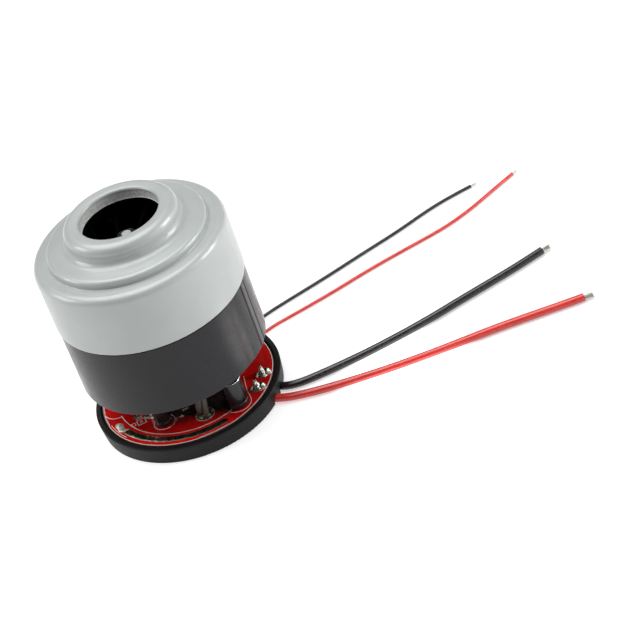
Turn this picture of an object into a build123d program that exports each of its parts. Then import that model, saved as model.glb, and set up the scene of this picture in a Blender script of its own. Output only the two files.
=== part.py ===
from build123d import *
import math
import os

os.makedirs("parts", exist_ok=True)

# Brushless blower motor with its driver board in a tray.
# Frame: millimetres, +Z up along the shaft, origin at the middle of the tray's underside.

# ---------------------------------------------------------------- driving dimensions
# tray and board
TRAY_R_LOW = 34.6          # outer radius at the underside
TRAY_R_TOP = 35.2          # outer radius at the rim (draft)
TRAY_H = 6.6
TRAY_RIM_R = 33.1          # inner radius of the rim
TRAY_LEDGE_R = 31.4        # inner radius under the board's ledge
TRAY_FLOOR = 1.4
BOARD_R = 32.6
BOARD_Z0 = 5.0
BOARD_T = 1.6
BOARD_Z = BOARD_Z0 + BOARD_T
# housing
HOUSING_R = 34.6
HOUSING_RI = 33.0
HOUSING_Z0 = 23.1
HOUSING_Z1 = 54.0
SLEEVE_R = 34.2            # rebate under the cover's skirt
SLEEVE_Z = 51.0
# cover
COVER_R = 35.0
COVER_T = 0.8
COVER_Z0 = 51.2
SHOULDER_Z = 75.0
TIER_R = 29.0
TIER_Z = 78.1
COLLAR_R = 20.7
COLLAR_Z = 85.7
THROAT_R = 14.3
THROAT_Z = 81.0
# motor frame, bearings, shaft
FRAME_R = 24.0
FRAME_RI = 22.8
FRAME_Z0 = 29.0
FRAME_Z1 = 58.5
PLATE_T = 2.5
SHAFT_R = 2.0
SHAFT_Z0 = 22.6
SHAFT_Z1 = 76.7
BRG_R = 6.5
BRG_W = 5.0
LOWER_BRG_Z = 24.0
UPPER_BRG_Z = 52.5
BALL_R = 1.19
BALL_PITCH_R = 4.25
BALLS = 7
# stator and rotor
STATOR_Z0 = 34.0
STATOR_H = 16.0
STATOR_RI = 11.6
TEETH = 6
MAGNET_R = 11.0
CORE_R = 7.0
ROTOR_Z0 = 33.0
ROTOR_H = 18.0
# impeller
IMP_R = 31.2
IMP_Z0 = 61.8
IMP_PLATE_T = 1.4
BLADES = 9
HUB_Z1 = 72.6
# fasteners
BOLT_R, BOLT_PCR, BOLT_AZ = 1.25, 21.4, -55.0       # through bolts, M2.5
POST_PCR, POST_AZ = 16.0, -30.0                     # board standoffs
LEAD_PCR, LEAD_AZ = 20.5, -85.0                     # phase leads
DSCREW_PCR, DSCREW_AZ = 14.0, 15.0                  # diffuser screws
# leads
POWER_D = 3.0
SIGNAL_D = 1.3
POWER_LZ = 1.55                                     # height of the lead's middle on the surface
SIGNAL_LZ = 0.70


# ---------------------------------------------------------------- helpers
def corner_points(points, closed=True):
    """Points are (r, z) or (r, z, corner radius). Returns edges of the rounded outline."""
    n = len(points)
    ends = []
    for i, p in enumerate(points):
        x, y = p[0], p[1]
        rad = p[2] if len(p) > 2 else 0.0
        if not rad:
            ends.append(((x, y), (x, y), None))
            continue
        a, b = points[i - 1], points[(i + 1) % n]
        ua = (a[0] - x, a[1] - y)
        ub = (b[0] - x, b[1] - y)
        la, lb = math.hypot(*ua), math.hypot(*ub)
        ua = (ua[0] / la, ua[1] / la)
        ub = (ub[0] / lb, ub[1] / lb)
        ang = math.acos(max(-1, min(1, ua[0] * ub[0] + ua[1] * ub[1])))
        d = rad / math.tan(ang / 2)
        p1 = (x + ua[0] * d, y + ua[1] * d)
        p2 = (x + ub[0] * d, y + ub[1] * d)
        bis = (ua[0] + ub[0], ua[1] + ub[1])
        lbis = math.hypot(*bis)
        h = rad / math.sin(ang / 2) - rad
        mid = (x + bis[0] / lbis * h, y + bis[1] / lbis * h)
        ends.append((p1, p2, mid))
    edges = []
    for i in range(n):
        p1, p2, mid = ends[i]
        if mid is not None:
            edges.append(ThreePointArc(p1, mid, p2))
        q1 = ends[(i + 1) % n][0]
        if math.hypot(q1[0] - p2[0], q1[1] - p2[1]) > 1e-6:
            edges.append(Line(p2, q1))
    return edges


def lathe(points, angle=360):
    """Solid of revolution about Z from an outline in (radius, height)."""
    face = make_face(Curve() + corner_points(points))
    face = Plane.XZ * face
    return revolve(face, axis=Axis.Z, revolution_arc=angle)


def tube(r_out, r_in, z0, z1):
    return lathe([(r_in, z0), (r_out, z0), (r_out, z1), (r_in, z1)])


def rod(r, z0, z1, x=0.0, y=0.0):
    return Pos(x, y, z0) * Cylinder(r, z1 - z0, align=(Align.CENTER, Align.CENTER, Align.MIN))


def block(w, d, h, x, y, z, turn=0.0):
    return Pos(x, y, z) * Rot(0, 0, turn) * Box(w, d, h, align=(Align.CENTER, Align.CENTER, Align.MIN))


def polar(r, az):
    return r * math.cos(math.radians(az)), r * math.sin(math.radians(az))


def triad(r, az0, n=3):
    return [polar(r, az0 + 360.0 / n * k) for k in range(n)]


def save(name, *solids):
    found = []
    for s in solids:
        found += list(s.solids())
    for s in found:
        s.label = name
    shape = found[0] if len(found) == 1 else Compound(children=found)
    shape.label = name
    export_step(shape, "parts/" + name + ".step")


# ---------------------------------------------------------------- lead routes (x, y), on the surface
POWER_BLACK = [(27.5, -12.4), (31.0, -16.0), (37.0, -18.0), (45.5, -17.9), (59.8, -17.0), (74.4, -15.0), (89.6, -12.2),
               (105.4, -8.1), (120.9, -4.5), (131.0, -1.9), (139.7, 0.8)]
POWER_RED = [(23.9, -18.8), (29.6, -22.4), (36.6, -24.8), (45.5, -26.8), (56.2, -28.4), (69.7, -30.0), (83.2, -30.9),
             (97.0, -31.4), (110.8, -31.8), (124.3, -32.9), (134.5, -33.8), (142.5, -34.3)]
SIGNAL_RED = [(27.2, 16.2), (35.3, 21.0), (47.9, 23.6), (63.6, 27.2), (79.7, 31.8), (95.7, 35.3),
              (111.7, 38.4), (120.6, 41.4), (129.4, 45.4), (138.8, 50.6), (148.3, 55.5)]
SIGNAL_BLACK = [(21.6, 20.6), (27.8, 25.6), (37.5, 30.3), (48.2, 33.5), (64.3, 38.0), (80.9, 43.4),
                (97.6, 48.4), (111.0, 53.7), (122.0, 56.8), (131.6, 58.4)]


def heading(a, b):
    return math.degrees(math.atan2(b[1] - a[1], b[0] - a[0]))


def lead(points, d, z, name):
    """Round lead lying flat: straight runs joined by tangent arcs."""
    radii = []
    for a, b, c in zip(points, points[1:], points[2:]):
        turn = abs((heading(b, c) - heading(a, b) + 180) % 360 - 180)
        run = min(math.dist(a, b), math.dist(b, c))
        radii.append(0.45 * run / math.tan(math.radians(turn) / 2))
    path = FilletPolyline(*[(x, y, z) for x, y in points], radius=radii)
    start = Plane(origin=(points[0][0], points[0][1], z),
                  z_dir=(points[1][0] - points[0][0], points[1][1] - points[0][1], 0))
    solid = sweep(start * Circle(d / 2), path=path)
    length = path.length
    print(name, "radii", [round(r, 1) for r in radii], "length", round(length, 2),
          "volume ratio", round(solid.volume / (math.pi * d * d / 4 * length), 4))
    return solid


def along(points, k, dist, z):
    """Point at a distance past the route's end (k=-1) or before its start (k=0)."""
    a, b = (points[1], points[0]) if k == 0 else (points[-2], points[-1])
    h = math.radians(heading(a, b))
    return b[0] + dist * math.cos(h), b[1] + dist * math.sin(h), z


def lying_rod(points, k, r, d0, d1, z):
    a = along(points, k, d0, z)
    b = along(points, k, d1, z)
    p = Plane(origin=a, z_dir=(b[0] - a[0], b[1] - a[1], 0))
    return extrude(p * Circle(r), d1 - d0)


def joint(points, r_wire, r_core, bend, dome, top, z, lean=(0.0, 0.0)):
    """Bared conductor: out of the insulation, bent up through the board, with its solder."""
    stub = lying_rod(points, 0, r_core, 0.0, bend + r_core * 0.6, z)
    x, y, _ = along(points, 0, bend, z)
    pin = rod(r_core, z - r_core * 0.98, BOARD_Z + top, x, y)
    solder = Pos(x, y, BOARD_Z) * Cone(dome, r_core + 0.25, top * 0.72, align=(Align.CENTER, Align.CENTER, Align.MIN))
    return (stub + pin + solder), (x, y)


# ---------------------------------------------------------------- leads and their ends
leads = {
    "power_lead_black": (POWER_BLACK, POWER_D, POWER_LZ),
    "power_lead_red": (POWER_RED, POWER_D, POWER_LZ),
    "signal_lead_red": (SIGNAL_RED, SIGNAL_D, SIGNAL_LZ),
    "signal_lead_black": (SIGNAL_BLACK, SIGNAL_D, SIGNAL_LZ),
}
lead_holes = []
for name, (pts, d, z) in leads.items():
    save(name, lead(pts, d, z, name))
    power = d > 2
    tip_r, tip_l = (1.05, 3.8) if power else (0.42, 2.6)
    save(name + "_tip", lying_rod(pts, -1, tip_r, 0.0, tip_l, z))
    core, dome, top, bend = (0.9, 2.4, 3.6, 1.6) if power else (0.4, 1.15, 1.5, 0.8)
    made, (jx, jy) = joint(pts, d / 2, core, bend, dome, top, z)
    save(name + "_joint", made)
    lead_holes.append((jx, jy, core + 0.2))
    print(name, "joint at", round(jx, 2), round(jy, 2))

# ---------------------------------------------------------------- board tray
tray = lathe([(0, 0), (TRAY_R_LOW, 0, 0.35), (TRAY_R_TOP, TRAY_H, 0.45), (TRAY_RIM_R, TRAY_H, 0.35),
              (TRAY_RIM_R - 0.1, BOARD_Z0), (TRAY_LEDGE_R, BOARD_Z0), (TRAY_LEDGE_R, TRAY_FLOOR, 0.8),
              (0, TRAY_FLOOR)])
for x, y in triad(POST_PCR, POST_AZ):
    tray += rod(3.6, TRAY_FLOOR - 0.2, BOARD_Z0, x, y)
for x, y in triad(POST_PCR, POST_AZ):
    tray -= rod(1.45, -1, BOARD_Z0 + 1, x, y)
    tray -= rod(2.6, -1, 2.0, x, y)
for name, (pts, d, z) in leads.items():
    # a channel open at the underside, from inside the board area out through the wall
    w = d + 0.4
    sx, sy, _ = along(pts, 0, 4.0 if d > 2 else 2.4, z)
    for a, b, more in (((sx, sy), pts[1], 1.0), (pts[1], pts[2], 0.0)):
        h = math.radians(heading(a, b))
        a = (a[0] - math.cos(h) * (1.0 - more), a[1] - math.sin(h) * (1.0 - more))
        length = math.dist(a, b) + more
        cx, cy = a[0] + math.cos(h) * length / 2, a[1] + math.sin(h) * length / 2
        tray -= block(length, w, z + 1.0, cx, cy, -1.0, math.degrees(h))
        tray -= extrude(Plane(origin=(*a, z), z_dir=(math.cos(h), math.sin(h), 0)) * Circle(w / 2), length)
save("board_tray", tray)

# ---------------------------------------------------------------- driver board
CAP_A = (14.2, -21.8, 4.0, 11.5)      # x, y, radius, height
CAP_B = (-12.6, -15.9, 3.15, 11.0)
board = rod(BOARD_R, BOARD_Z0, BOARD_Z)
board = chamfer(board.edges().filter_by(GeomType.CIRCLE), 0.15)
for x, y in triad(POST_PCR, POST_AZ):
    board -= rod(1.45, 0, 10, x, y)
for x, y in triad(LEAD_PCR, LEAD_AZ):
    board -= rod(1.5, 0, 10, x, y)
for x, y, r in lead_holes:
    board -= rod(r, 0, 10, x, y)
CAP_LEADS = []
for (x, y, r, h), pitch, az in ((CAP_A, 1.75, 57.0), (CAP_B, 1.25, 38.0)):
    for s in (-1, 1):
        dx, dy = polar(pitch * s, az)
        CAP_LEADS.append((x + dx, y + dy))
        board -= rod(0.45, 0, 10, x + dx, y + dy)
save("driver_board", board)

# ---------------------------------------------------------------- parts on the board
def capacitor(x, y, r, h, legs):
    z0 = BOARD_Z + 0.3
    body = Pos(x, y, 0) * lathe([(0, z0), (r, z0, 0.35), (r, z0 + 1.2), (r - 0.28, z0 + 1.75), (r, z0 + 2.3),
                                 (r, z0 + h, 0.4), (r - 0.75, z0 + h), (r - 0.75, z0 + h - 0.25), (0, z0 + h - 0.25)])
    for lx, ly in legs:
        body += rod(0.3, BOARD_Z0 - 0.9, z0 + 0.5, lx, ly)
    return body


save("capacitor_large", capacitor(*CAP_A, CAP_LEADS[:2]))
save("capacitor_small", capacitor(*CAP_B, CAP_LEADS[2:]))

FETS = [(24.5, 57 + 16.5 * k) for k in range(6)]
fets = []
for r, az in FETS:
    x, y = polar(r, az)
    fets.append(block(6.0, 5.0, 1.0, x, y, BOARD_Z, az))
save("power_transistors", *fets)
save("controller_chip", block(7.0, 7.0, 1.4, -5.5, 2.0, BOARD_Z + 0.1) + block(8.6, 5.6, 0.12, -5.5, 2.0, BOARD_Z)
     + block(5.6, 8.6, 0.12, -5.5, 2.0, BOARD_Z))
save("gate_driver_chip", block(6.5, 4.4, 1.0, 6.5, 4.5, BOARD_Z + 0.1, 20) + block(6.0, 6.2, 0.12, 6.5, 4.5, BOARD_Z, 20))
save("current_shunt", block(6.3, 3.1, 0.8, 8.0, -5.0, BOARD_Z, -30))

CHIPS = [(-21.6, -6.2, 2.0, 1.25, 0.55, 66), (-17.4, -9.3, 2.0, 1.25, 0.55, -34), (-3.9, -13.3, 1.6, 0.8, 0.45, 10),
         (-9.5, -7.2, 1.6, 0.8, 0.45, 0), (-6.6, -7.2, 1.6, 0.8, 0.45, 0), (-3.7, -7.2, 1.6, 0.8, 0.45, 0),
         (0.8, -3.4, 1.6, 0.8, 0.45, 90), (0.8, 0.0, 1.6, 0.8, 0.45, 90), (-12.6, 1.0, 1.6, 0.8, 0.45, 90),
         (-12.6, 4.0, 1.6, 0.8, 0.45, 90), (-5.0, 9.8, 2.0, 1.25, 0.8, 0), (5.4, 10.2, 2.0, 1.25, 0.8, 20),
         (13.6, 3.4, 3.2, 1.6, 1.0, 80), (-20.6, 1.6, 3.2, 1.6, 1.0, 95), (20.8, 4.8, 3.2, 1.6, 1.0, 70),
         (10.0, 14.6, 2.0, 1.25, 0.55, 30), (-9.6, 14.4, 2.0, 1.25, 0.55, -30)]
save("chip_components", *[block(w, d, h, x, y, BOARD_Z, t) for x, y, w, d, h, t in CHIPS])

# tinned supply track: a bead of solder along the board's front edge
TRACK_R, TRACK_W, TRACK_H = 29.2, 3.0, 0.55
track = lathe([(TRACK_R - TRACK_W / 2, BOARD_Z), (TRACK_R + TRACK_W / 2, BOARD_Z),
               (TRACK_R + TRACK_W / 2 - 0.35, BOARD_Z + TRACK_H), (TRACK_R - TRACK_W / 2 + 0.35, BOARD_Z + TRACK_H)], 84)
save("supply_track", Rot(0, 0, -157) * track + Pos(*polar(29.4, -159), BOARD_Z)
     * Cone(1.7, 0.9, 1.3, align=(Align.CENTER, Align.CENTER, Align.MIN)))

# phase leads, thick with sleeving below the motor, and their solder
phase, phase_solder = [], []
for x, y in triad(LEAD_PCR, LEAD_AZ):
    wire = rod(1.3, BOARD_Z0 - 0.6, 30.4, x, y)
    wire += Pos(x, y, 0) * lathe([(0, BOARD_Z + 0.3), (2.6, BOARD_Z + 0.3), (2.6, 16.0, 1.2), (1.3, 20.0, 1.0), (1.3, 21.0), (0, 21.0)])
    phase.append(wire)
    ring = Pos(x, y, BOARD_Z) * Cone(3.3, 2.9, 1.6, align=(Align.CENTER, Align.CENTER, Align.MIN))
    phase_solder.append(ring - rod(1.3, 0, 40, x, y) - rod(2.6, BOARD_Z + 0.3, 40, x, y))
save("phase_leads", *phase)
save("phase_solder_joints", *phase_solder)

# ---------------------------------------------------------------- standoffs and screws
BRACKET_Z0 = 22.4
BRACKET_PLATE = (26.5, 29.0)
posts, board_screws = [], []
for x, y in triad(POST_PCR, POST_AZ):
    body = extrude(Plane(origin=(x, y, BOARD_Z)) * RegularPolygon(2.5, 6, major_radius=False),
                   BRACKET_PLATE[0] - BOARD_Z)
    body -= rod(1.25, BOARD_Z - 1, BOARD_Z + 7.0, x, y)
    body += rod(1.25, BRACKET_PLATE[0], BRACKET_PLATE[1], x, y)
    posts.append(body)
    head = rod(2.3, 0.35, 2.0, x, y)
    head -= block(3.2, 0.6, 0.7, x, y, 0.0, 20) + block(0.6, 3.2, 0.7, x, y, 0.0, 20)
    board_screws.append(head + rod(1.25, 2.0, BOARD_Z + 6.0, x, y))
save("board_standoffs", *posts)
save("board_screws", *board_screws)

# ---------------------------------------------------------------- lower bearing bracket
bracket = lathe([(4.5, BRACKET_Z0), (8.3, BRACKET_Z0, 0.5), (8.3, BRACKET_PLATE[0]), (FRAME_R, BRACKET_PLATE[0], 0.4),
                 (FRAME_R, BRACKET_PLATE[1]), (FRAME_RI, BRACKET_PLATE[1]), (FRAME_RI, BRACKET_PLATE[1] + 0.8),
                 (FRAME_RI - 1.0, BRACKET_PLATE[1] + 0.8), (FRAME_RI - 1.0, BRACKET_PLATE[1]),
                 (BRG_R, BRACKET_PLATE[1]), (BRG_R, 23.6), (4.5, 23.6)])
for x, y in triad(POST_PCR, POST_AZ):
    bracket -= rod(1.25, 20, 40, x, y)
for x, y in triad(BOLT_PCR, BOLT_AZ):
    bracket -= rod(1.4, 20, 40, x, y)
for x, y in triad(LEAD_PCR, LEAD_AZ):
    bracket -= rod(1.7, 20, 40, x, y)
for x, y in triad(14.2, POST_AZ + 60):
    bracket -= rod(3.2, 20, 40, x, y)
save("bearing_bracket", bracket)

# ---------------------------------------------------------------- motor frame with the upper bearing seat
frame = lathe([(FRAME_R, FRAME_Z0), (FRAME_R, FRAME_Z1, 0.8), (4.5, FRAME_Z1), (4.5, UPPER_BRG_Z + BRG_W),
               (BRG_R, UPPER_BRG_Z + BRG_W), (BRG_R, UPPER_BRG_Z), (8.3, UPPER_BRG_Z, 0.4), (8.3, FRAME_Z1 - PLATE_T),
               (FRAME_RI, FRAME_Z1 - PLATE_T), (FRAME_RI, FRAME_Z0)])
for x, y in triad(BOLT_PCR, BOLT_AZ):
    frame -= rod(BOLT_R, 50, FRAME_Z1 - 0.6, x, y)
for x, y in triad(DSCREW_PCR, DSCREW_AZ):
    frame -= rod(BOLT_R, 50, 70, x, y)
for k in range(3):
    # side windows that let cooling air reach the windings
    frame -= block(6.0, 9.0, 5.0, *polar(FRAME_R, BOLT_AZ + 60 + 120 * k), 29.8, BOLT_AZ + 60 + 120 * k)
save("motor_frame", frame)

bolts = []
for x, y in triad(BOLT_PCR, BOLT_AZ):
    head = rod(2.2, BRACKET_PLATE[0] - 1.6, BRACKET_PLATE[0], x, y)
    head -= block(3.0, 0.6, 0.7, x, y, BRACKET_PLATE[0] - 1.6, 35) + block(0.6, 3.0, 0.7, x, y, BRACKET_PLATE[0] - 1.6, 35)
    bolts.append(head + rod(BOLT_R, BRACKET_PLATE[0], FRAME_Z1 - 0.9, x, y))
save("through_bolts", *bolts)


# ---------------------------------------------------------------- ball bearings
def bearing(tag, z0):
    zc = z0 + BRG_W / 2
    groove = BALL_R + 0.05
    off = 0.04
    outer = tube(BRG_R, 5.35, z0, z0 + BRG_W)
    inner = tube(3.15, SHAFT_R, z0, z0 + BRG_W)
    race_o = Pos(0, 0, zc) * Torus(BALL_PITCH_R, groove)
    race_o_z = Pos(0, 0, zc) * Torus(BALL_PITCH_R, groove)
    outer -= race_o
    inner -= race_o_z
    for s in (-1, 1):
        za = zc + s * (BRG_W / 2 - 0.45)
        outer -= tube(5.75, 5.0, za - 0.125, za + 0.125)
    balls = []
    cage = tube(4.75, 3.75, zc - 1.6, zc + 1.6)
    for k in range(BALLS):
        x, y = polar(BALL_PITCH_R, 360.0 / BALLS * k)
        balls.append(Pos(x, y, zc) * Sphere(BALL_R))
        cage -= Rot(0, 0, 360.0 / BALLS * k) * Pos(BALL_PITCH_R, 0, zc) * Rot(0, 90, 0) * Cylinder(BALL_R + 0.05, 3.0)
    shields = []
    for s in (-1, 1):
        za = zc + s * (BRG_W / 2 - 0.45)
        shields.append(tube(5.70, 3.35, za - 0.10, za + 0.10))
    save(tag + "_bearing_outer_ring", outer)
    save(tag + "_bearing_inner_ring", inner)
    save(tag + "_bearing_balls", *balls)
    save(tag + "_bearing_cage", cage)
    save(tag + "_bearing_shields", *shields)


bearing("lower", LOWER_BRG_Z)
bearing("upper", UPPER_BRG_Z)
# dished spring washer that preloads the lower bearing
save("preload_washer", lathe([(5.0, 23.6), (5.25, 23.6), (6.35, 23.8), (6.35, 24.0), (6.1, 24.0), (5.0, 23.8)]))

# ---------------------------------------------------------------- stator
core = tube(FRAME_RI, 19.4, STATOR_Z0, STATOR_Z0 + STATOR_H)
shoe = tube(13.2, STATOR_RI, STATOR_Z0, STATOR_Z0 + STATOR_H)
for k in range(TEETH):
    az = LEAD_AZ + 30 + 60 * k
    x, y = polar(16.0, az)
    core += block(8.4, 5.6, STATOR_H, x, y, STATOR_Z0, az)
    x, y = polar(12.4, az + 30)
    shoe -= block(5.0, 1.8, 60, x, y, 0, az + 30)
core += shoe
for x, y in triad(BOLT_PCR, BOLT_AZ):
    core -= rod(1.45, 20, 70, x, y)
save("stator_core", core)


def insulator(z0, z1, flange0, flange1):
    ring = tube(22.2, 19.4, z0, z1) + tube(20.4, 19.4, flange0, flange1)
    tips = tube(13.2, 11.9, min(z0, flange0), max(z1, flange1))
    for k in range(TEETH):
        az = LEAD_AZ + 30 + 60 * k
        x, y = polar(16.3, az)
        ring += block(7.2, 5.6, z1 - z0, x, y, z0, az)
        x, y = polar(12.4, az + 30)
        tips -= block(5.0, 5.2, 90, x, y, 0, az + 30)
    ring += tips
    for x, y in triad(BOLT_PCR, BOLT_AZ):
        ring -= rod(1.5, 20, 70, x, y)
    return ring


save("stator_insulator_lower", insulator(STATOR_Z0 - 0.8, STATOR_Z0, STATOR_Z0 - 3.4, STATOR_Z0 - 0.8))
save("stator_insulator_upper", insulator(STATOR_Z0 + STATOR_H, STATOR_Z0 + STATOR_H + 0.8,
                                         STATOR_Z0 + STATOR_H + 0.8, STATOR_Z0 + STATOR_H + 2.6))

coils = []
for k in range(TEETH):
    az = LEAD_AZ + 30 + 60 * k
    lo, hi = STATOR_Z0 - 0.8, STATOR_Z0 + STATOR_H + 0.8
    outer = Box(4.8, 5.6 + 2 * 1.9, hi - lo + 2 * 1.7)
    outer = fillet(outer.edges().filter_by(Axis.X), 1.6)
    inner = Box(9.0, 5.6 + 0.1, hi - lo)
    coil = outer - inner
    coils.append(Rot(0, 0, az) * Pos(16.0, 0, (lo + hi) / 2) * coil)
save("stator_coils", *coils)

# ---------------------------------------------------------------- rotor
shaft = lathe([(0, SHAFT_Z0), (SHAFT_R, SHAFT_Z0), (SHAFT_R, SHAFT_Z1), (0, SHAFT_Z1)])
shaft = chamfer(shaft.edges().filter_by(GeomType.CIRCLE), 0.3)
save("motor_shaft", shaft)
save("rotor_core", tube(CORE_R, SHAFT_R, ROTOR_Z0, ROTOR_Z0 + ROTOR_H))
save("rotor_magnet", lathe([(CORE_R, ROTOR_Z0), (MAGNET_R, ROTOR_Z0, 0.3), (MAGNET_R, ROTOR_Z0 + ROTOR_H, 0.3),
                            (CORE_R, ROTOR_Z0 + ROTOR_H)]))
save("rotor_spacer_lower", tube(2.9, SHAFT_R, LOWER_BRG_Z + BRG_W, ROTOR_Z0))
save("rotor_spacer_upper", tube(2.9, SHAFT_R, ROTOR_Z0 + ROTOR_H, UPPER_BRG_Z))
save("impeller_spacer", tube(3.0, SHAFT_R, UPPER_BRG_Z + BRG_W, IMP_Z0))

# impeller: back disc, hub and backward-curved blades in one moulding
SHROUD = [(IMP_R, 68.4), (27.0, 69.1), (23.0, 70.5), (19.5, 73.0), (17.0, 76.2), (15.6, 79.8)]
plate_top = IMP_Z0 + IMP_PLATE_T
hub = lathe([(SHAFT_R, IMP_Z0), (IMP_R, IMP_Z0), (IMP_R, plate_top), (13.0, plate_top), (7.0, 66.6), (5.2, 70.0),
             (4.6, HUB_Z1), (SHAFT_R, HUB_Z1)])
blade_space = lathe([(4.9, plate_top - 0.4)] + [(IMP_R, plate_top - 0.4)] + SHROUD[:5] + [(15.2, 74.6), (9.0, 69.2), (4.9, 69.0)])
blades = None
for k in range(BLADES):
    a0 = 360.0 / BLADES * k
    n = 7
    mid = []
    for i in range(n):
        t = i / (n - 1)
        r = 6.5 + (IMP_R + 1.0 - 6.5) * t
        mid.append(polar(r, a0 - 62.0 * t ** 0.8))
    spine = Spline(*mid)
    left, right = [], []
    for i in range(n):
        t = i / (n - 1)
        p = spine @ t
        d = (spine % t)
        nx, ny = -d.Y, d.X
        w = 0.5
        left.append((p.X + nx * w, p.Y + ny * w))
        right.append((p.X - nx * w, p.Y - ny * w))
    outline = Curve() + [Spline(*left), Line(left[-1], right[-1]), Spline(*right[::-1]), Line(right[0], left[0])]
    blade = extrude(make_face(outline), 20)
    blade = Pos(0, 0, plate_top - 0.4) * blade
    blades = blade if blades is None else blades + blade
impeller = hub + (blades & blade_space)
save("impeller", impeller)
save("impeller_shroud", lathe(SHROUD + [(16.5, 79.8, 0.3), (17.9, 76.6), (20.2, 73.8), (23.5, 71.5), (27.2, 70.2), (IMP_R, 69.5)]))
save("impeller_washer", tube(4.2, SHAFT_R, HUB_Z1, HUB_Z1 + 0.6))
nut_z = HUB_Z1 + 0.6
nut = extrude(Plane(origin=(0, 0, nut_z)) * RegularPolygon(3.5, 6, major_radius=False), 2.7)
nut &= lathe([(0, nut_z), (3.75, nut_z), (4.1, nut_z + 0.3), (4.1, nut_z + 2.4), (3.6, nut_z + 2.7), (0, nut_z + 2.7)])
nut -= rod(SHAFT_R, 60, 90)
save("impeller_nut", nut)

# ---------------------------------------------------------------- diffuser with guide vanes
RING_Z1 = 61.0
DISC_R = 29.0
diffuser = lathe([(5.0, FRAME_Z1), (DISC_R, FRAME_Z1, 0.6), (DISC_R, FRAME_Z1 + 2.0, 0.9), (5.0, FRAME_Z1 + 2.0)])
diffuser += tube(SLEEVE_R, HOUSING_RI, HOUSING_Z1, RING_Z1)
diffuser += tube(HOUSING_RI, 32.2, HOUSING_Z1 - 1.5, RING_Z1)
vane_space = lathe([(FRAME_R + 0.1, 49.5), (32.6, 49.5), (32.6, FRAME_Z1 + 1.6), (27.5, FRAME_Z1 + 1.6), (27.5, FRAME_Z1 + 0.6),
                    (FRAME_R + 0.1, FRAME_Z1 + 0.6)])
vanes = None
for k in range(11):
    az = 360.0 / 11 * k + 8
    v = Rot(0, 0, az) * Pos(28.0, 0, 55.0) * Rot(28, 0, 0) * Box(14.0, 1.1, 18.0)
    vanes = v if vanes is None else vanes + v
diffuser += vanes & vane_space
for x, y in triad(DSCREW_PCR, DSCREW_AZ):
    diffuser -= rod(1.45, 50, 70, x, y)
    diffuser -= rod(2.5, FRAME_Z1 + 0.9, 70, x, y)
save("diffuser", diffuser)
dscrews = []
for x, y in triad(DSCREW_PCR, DSCREW_AZ):
    head = rod(2.2, FRAME_Z1 + 0.9, FRAME_Z1 + 2.0, x, y)
    head -= block(3.0, 0.6, 0.9, x, y, FRAME_Z1 + 1.5, 10) + block(0.6, 3.0, 0.9, x, y, FRAME_Z1 + 1.5, 10)
    dscrews.append(head + rod(BOLT_R, FRAME_Z1 - 2.3, FRAME_Z1 + 0.9, x, y))
save("diffuser_screws", *dscrews)

# ---------------------------------------------------------------- housing and cover
save("motor_housing", lathe([(HOUSING_RI, HOUSING_Z0, 0.4), (HOUSING_R, HOUSING_Z0, 0.6), (HOUSING_R, SLEEVE_Z, 0.15),
                             (SLEEVE_R, SLEEVE_Z), (SLEEVE_R, HOUSING_Z1), (HOUSING_RI, HOUSING_Z1)]))
t = COVER_T
cover = lathe([
    (COVER_R, COVER_Z0, 0.25), (COVER_R, SHOULDER_Z, 2.8), (TIER_R, SHOULDER_Z, 0.5), (TIER_R, TIER_Z - 0.15, 1.7),
    (23.6, TIER_Z + 0.35, 12.0), (COLLAR_R, TIER_Z + 0.8, 1.9), (COLLAR_R, COLLAR_Z, 1.7),
    (16.9, COLLAR_Z, 0.0), (THROAT_R, COLLAR_Z - 0.35, 1.7), (THROAT_R, THROAT_Z, 0.2),
    (THROAT_R + t, THROAT_Z, 0.2), (THROAT_R + t, COLLAR_Z - 0.35 - t, 0.9), (16.9, COLLAR_Z - t, 0.0),
    (COLLAR_R - t, COLLAR_Z - t, 0.9), (COLLAR_R - t, TIER_Z + 0.8 - t - 0.05, 2.6), (23.4, TIER_Z + 0.35 - t, 10.0),
    (TIER_R - t, TIER_Z - 0.15 - t, 0.9), (TIER_R - t, SHOULDER_Z - t, 1.2), (COVER_R - t, SHOULDER_Z - t, 2.0),
    (COVER_R - t, COVER_Z0, 0.25)])
save("fan_cover", cover)
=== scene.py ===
import bpy
import bmesh
import math
import random
from mathutils import Matrix, Vector, noise


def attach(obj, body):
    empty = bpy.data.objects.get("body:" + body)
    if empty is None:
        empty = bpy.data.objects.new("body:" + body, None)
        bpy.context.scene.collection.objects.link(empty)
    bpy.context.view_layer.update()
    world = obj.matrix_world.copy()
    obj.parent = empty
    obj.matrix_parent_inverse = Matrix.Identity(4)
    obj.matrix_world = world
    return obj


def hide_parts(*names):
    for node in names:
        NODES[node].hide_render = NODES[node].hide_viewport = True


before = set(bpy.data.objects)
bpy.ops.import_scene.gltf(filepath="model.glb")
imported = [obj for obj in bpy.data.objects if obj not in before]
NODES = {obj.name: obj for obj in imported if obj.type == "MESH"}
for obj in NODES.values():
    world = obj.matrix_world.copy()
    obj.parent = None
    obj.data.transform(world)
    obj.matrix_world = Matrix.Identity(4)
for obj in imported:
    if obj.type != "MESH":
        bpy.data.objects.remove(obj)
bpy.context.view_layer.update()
MM = 0.001
scene = bpy.context.scene
scene.view_settings.view_transform = "Standard"
scene.view_settings.look = "None"

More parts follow.
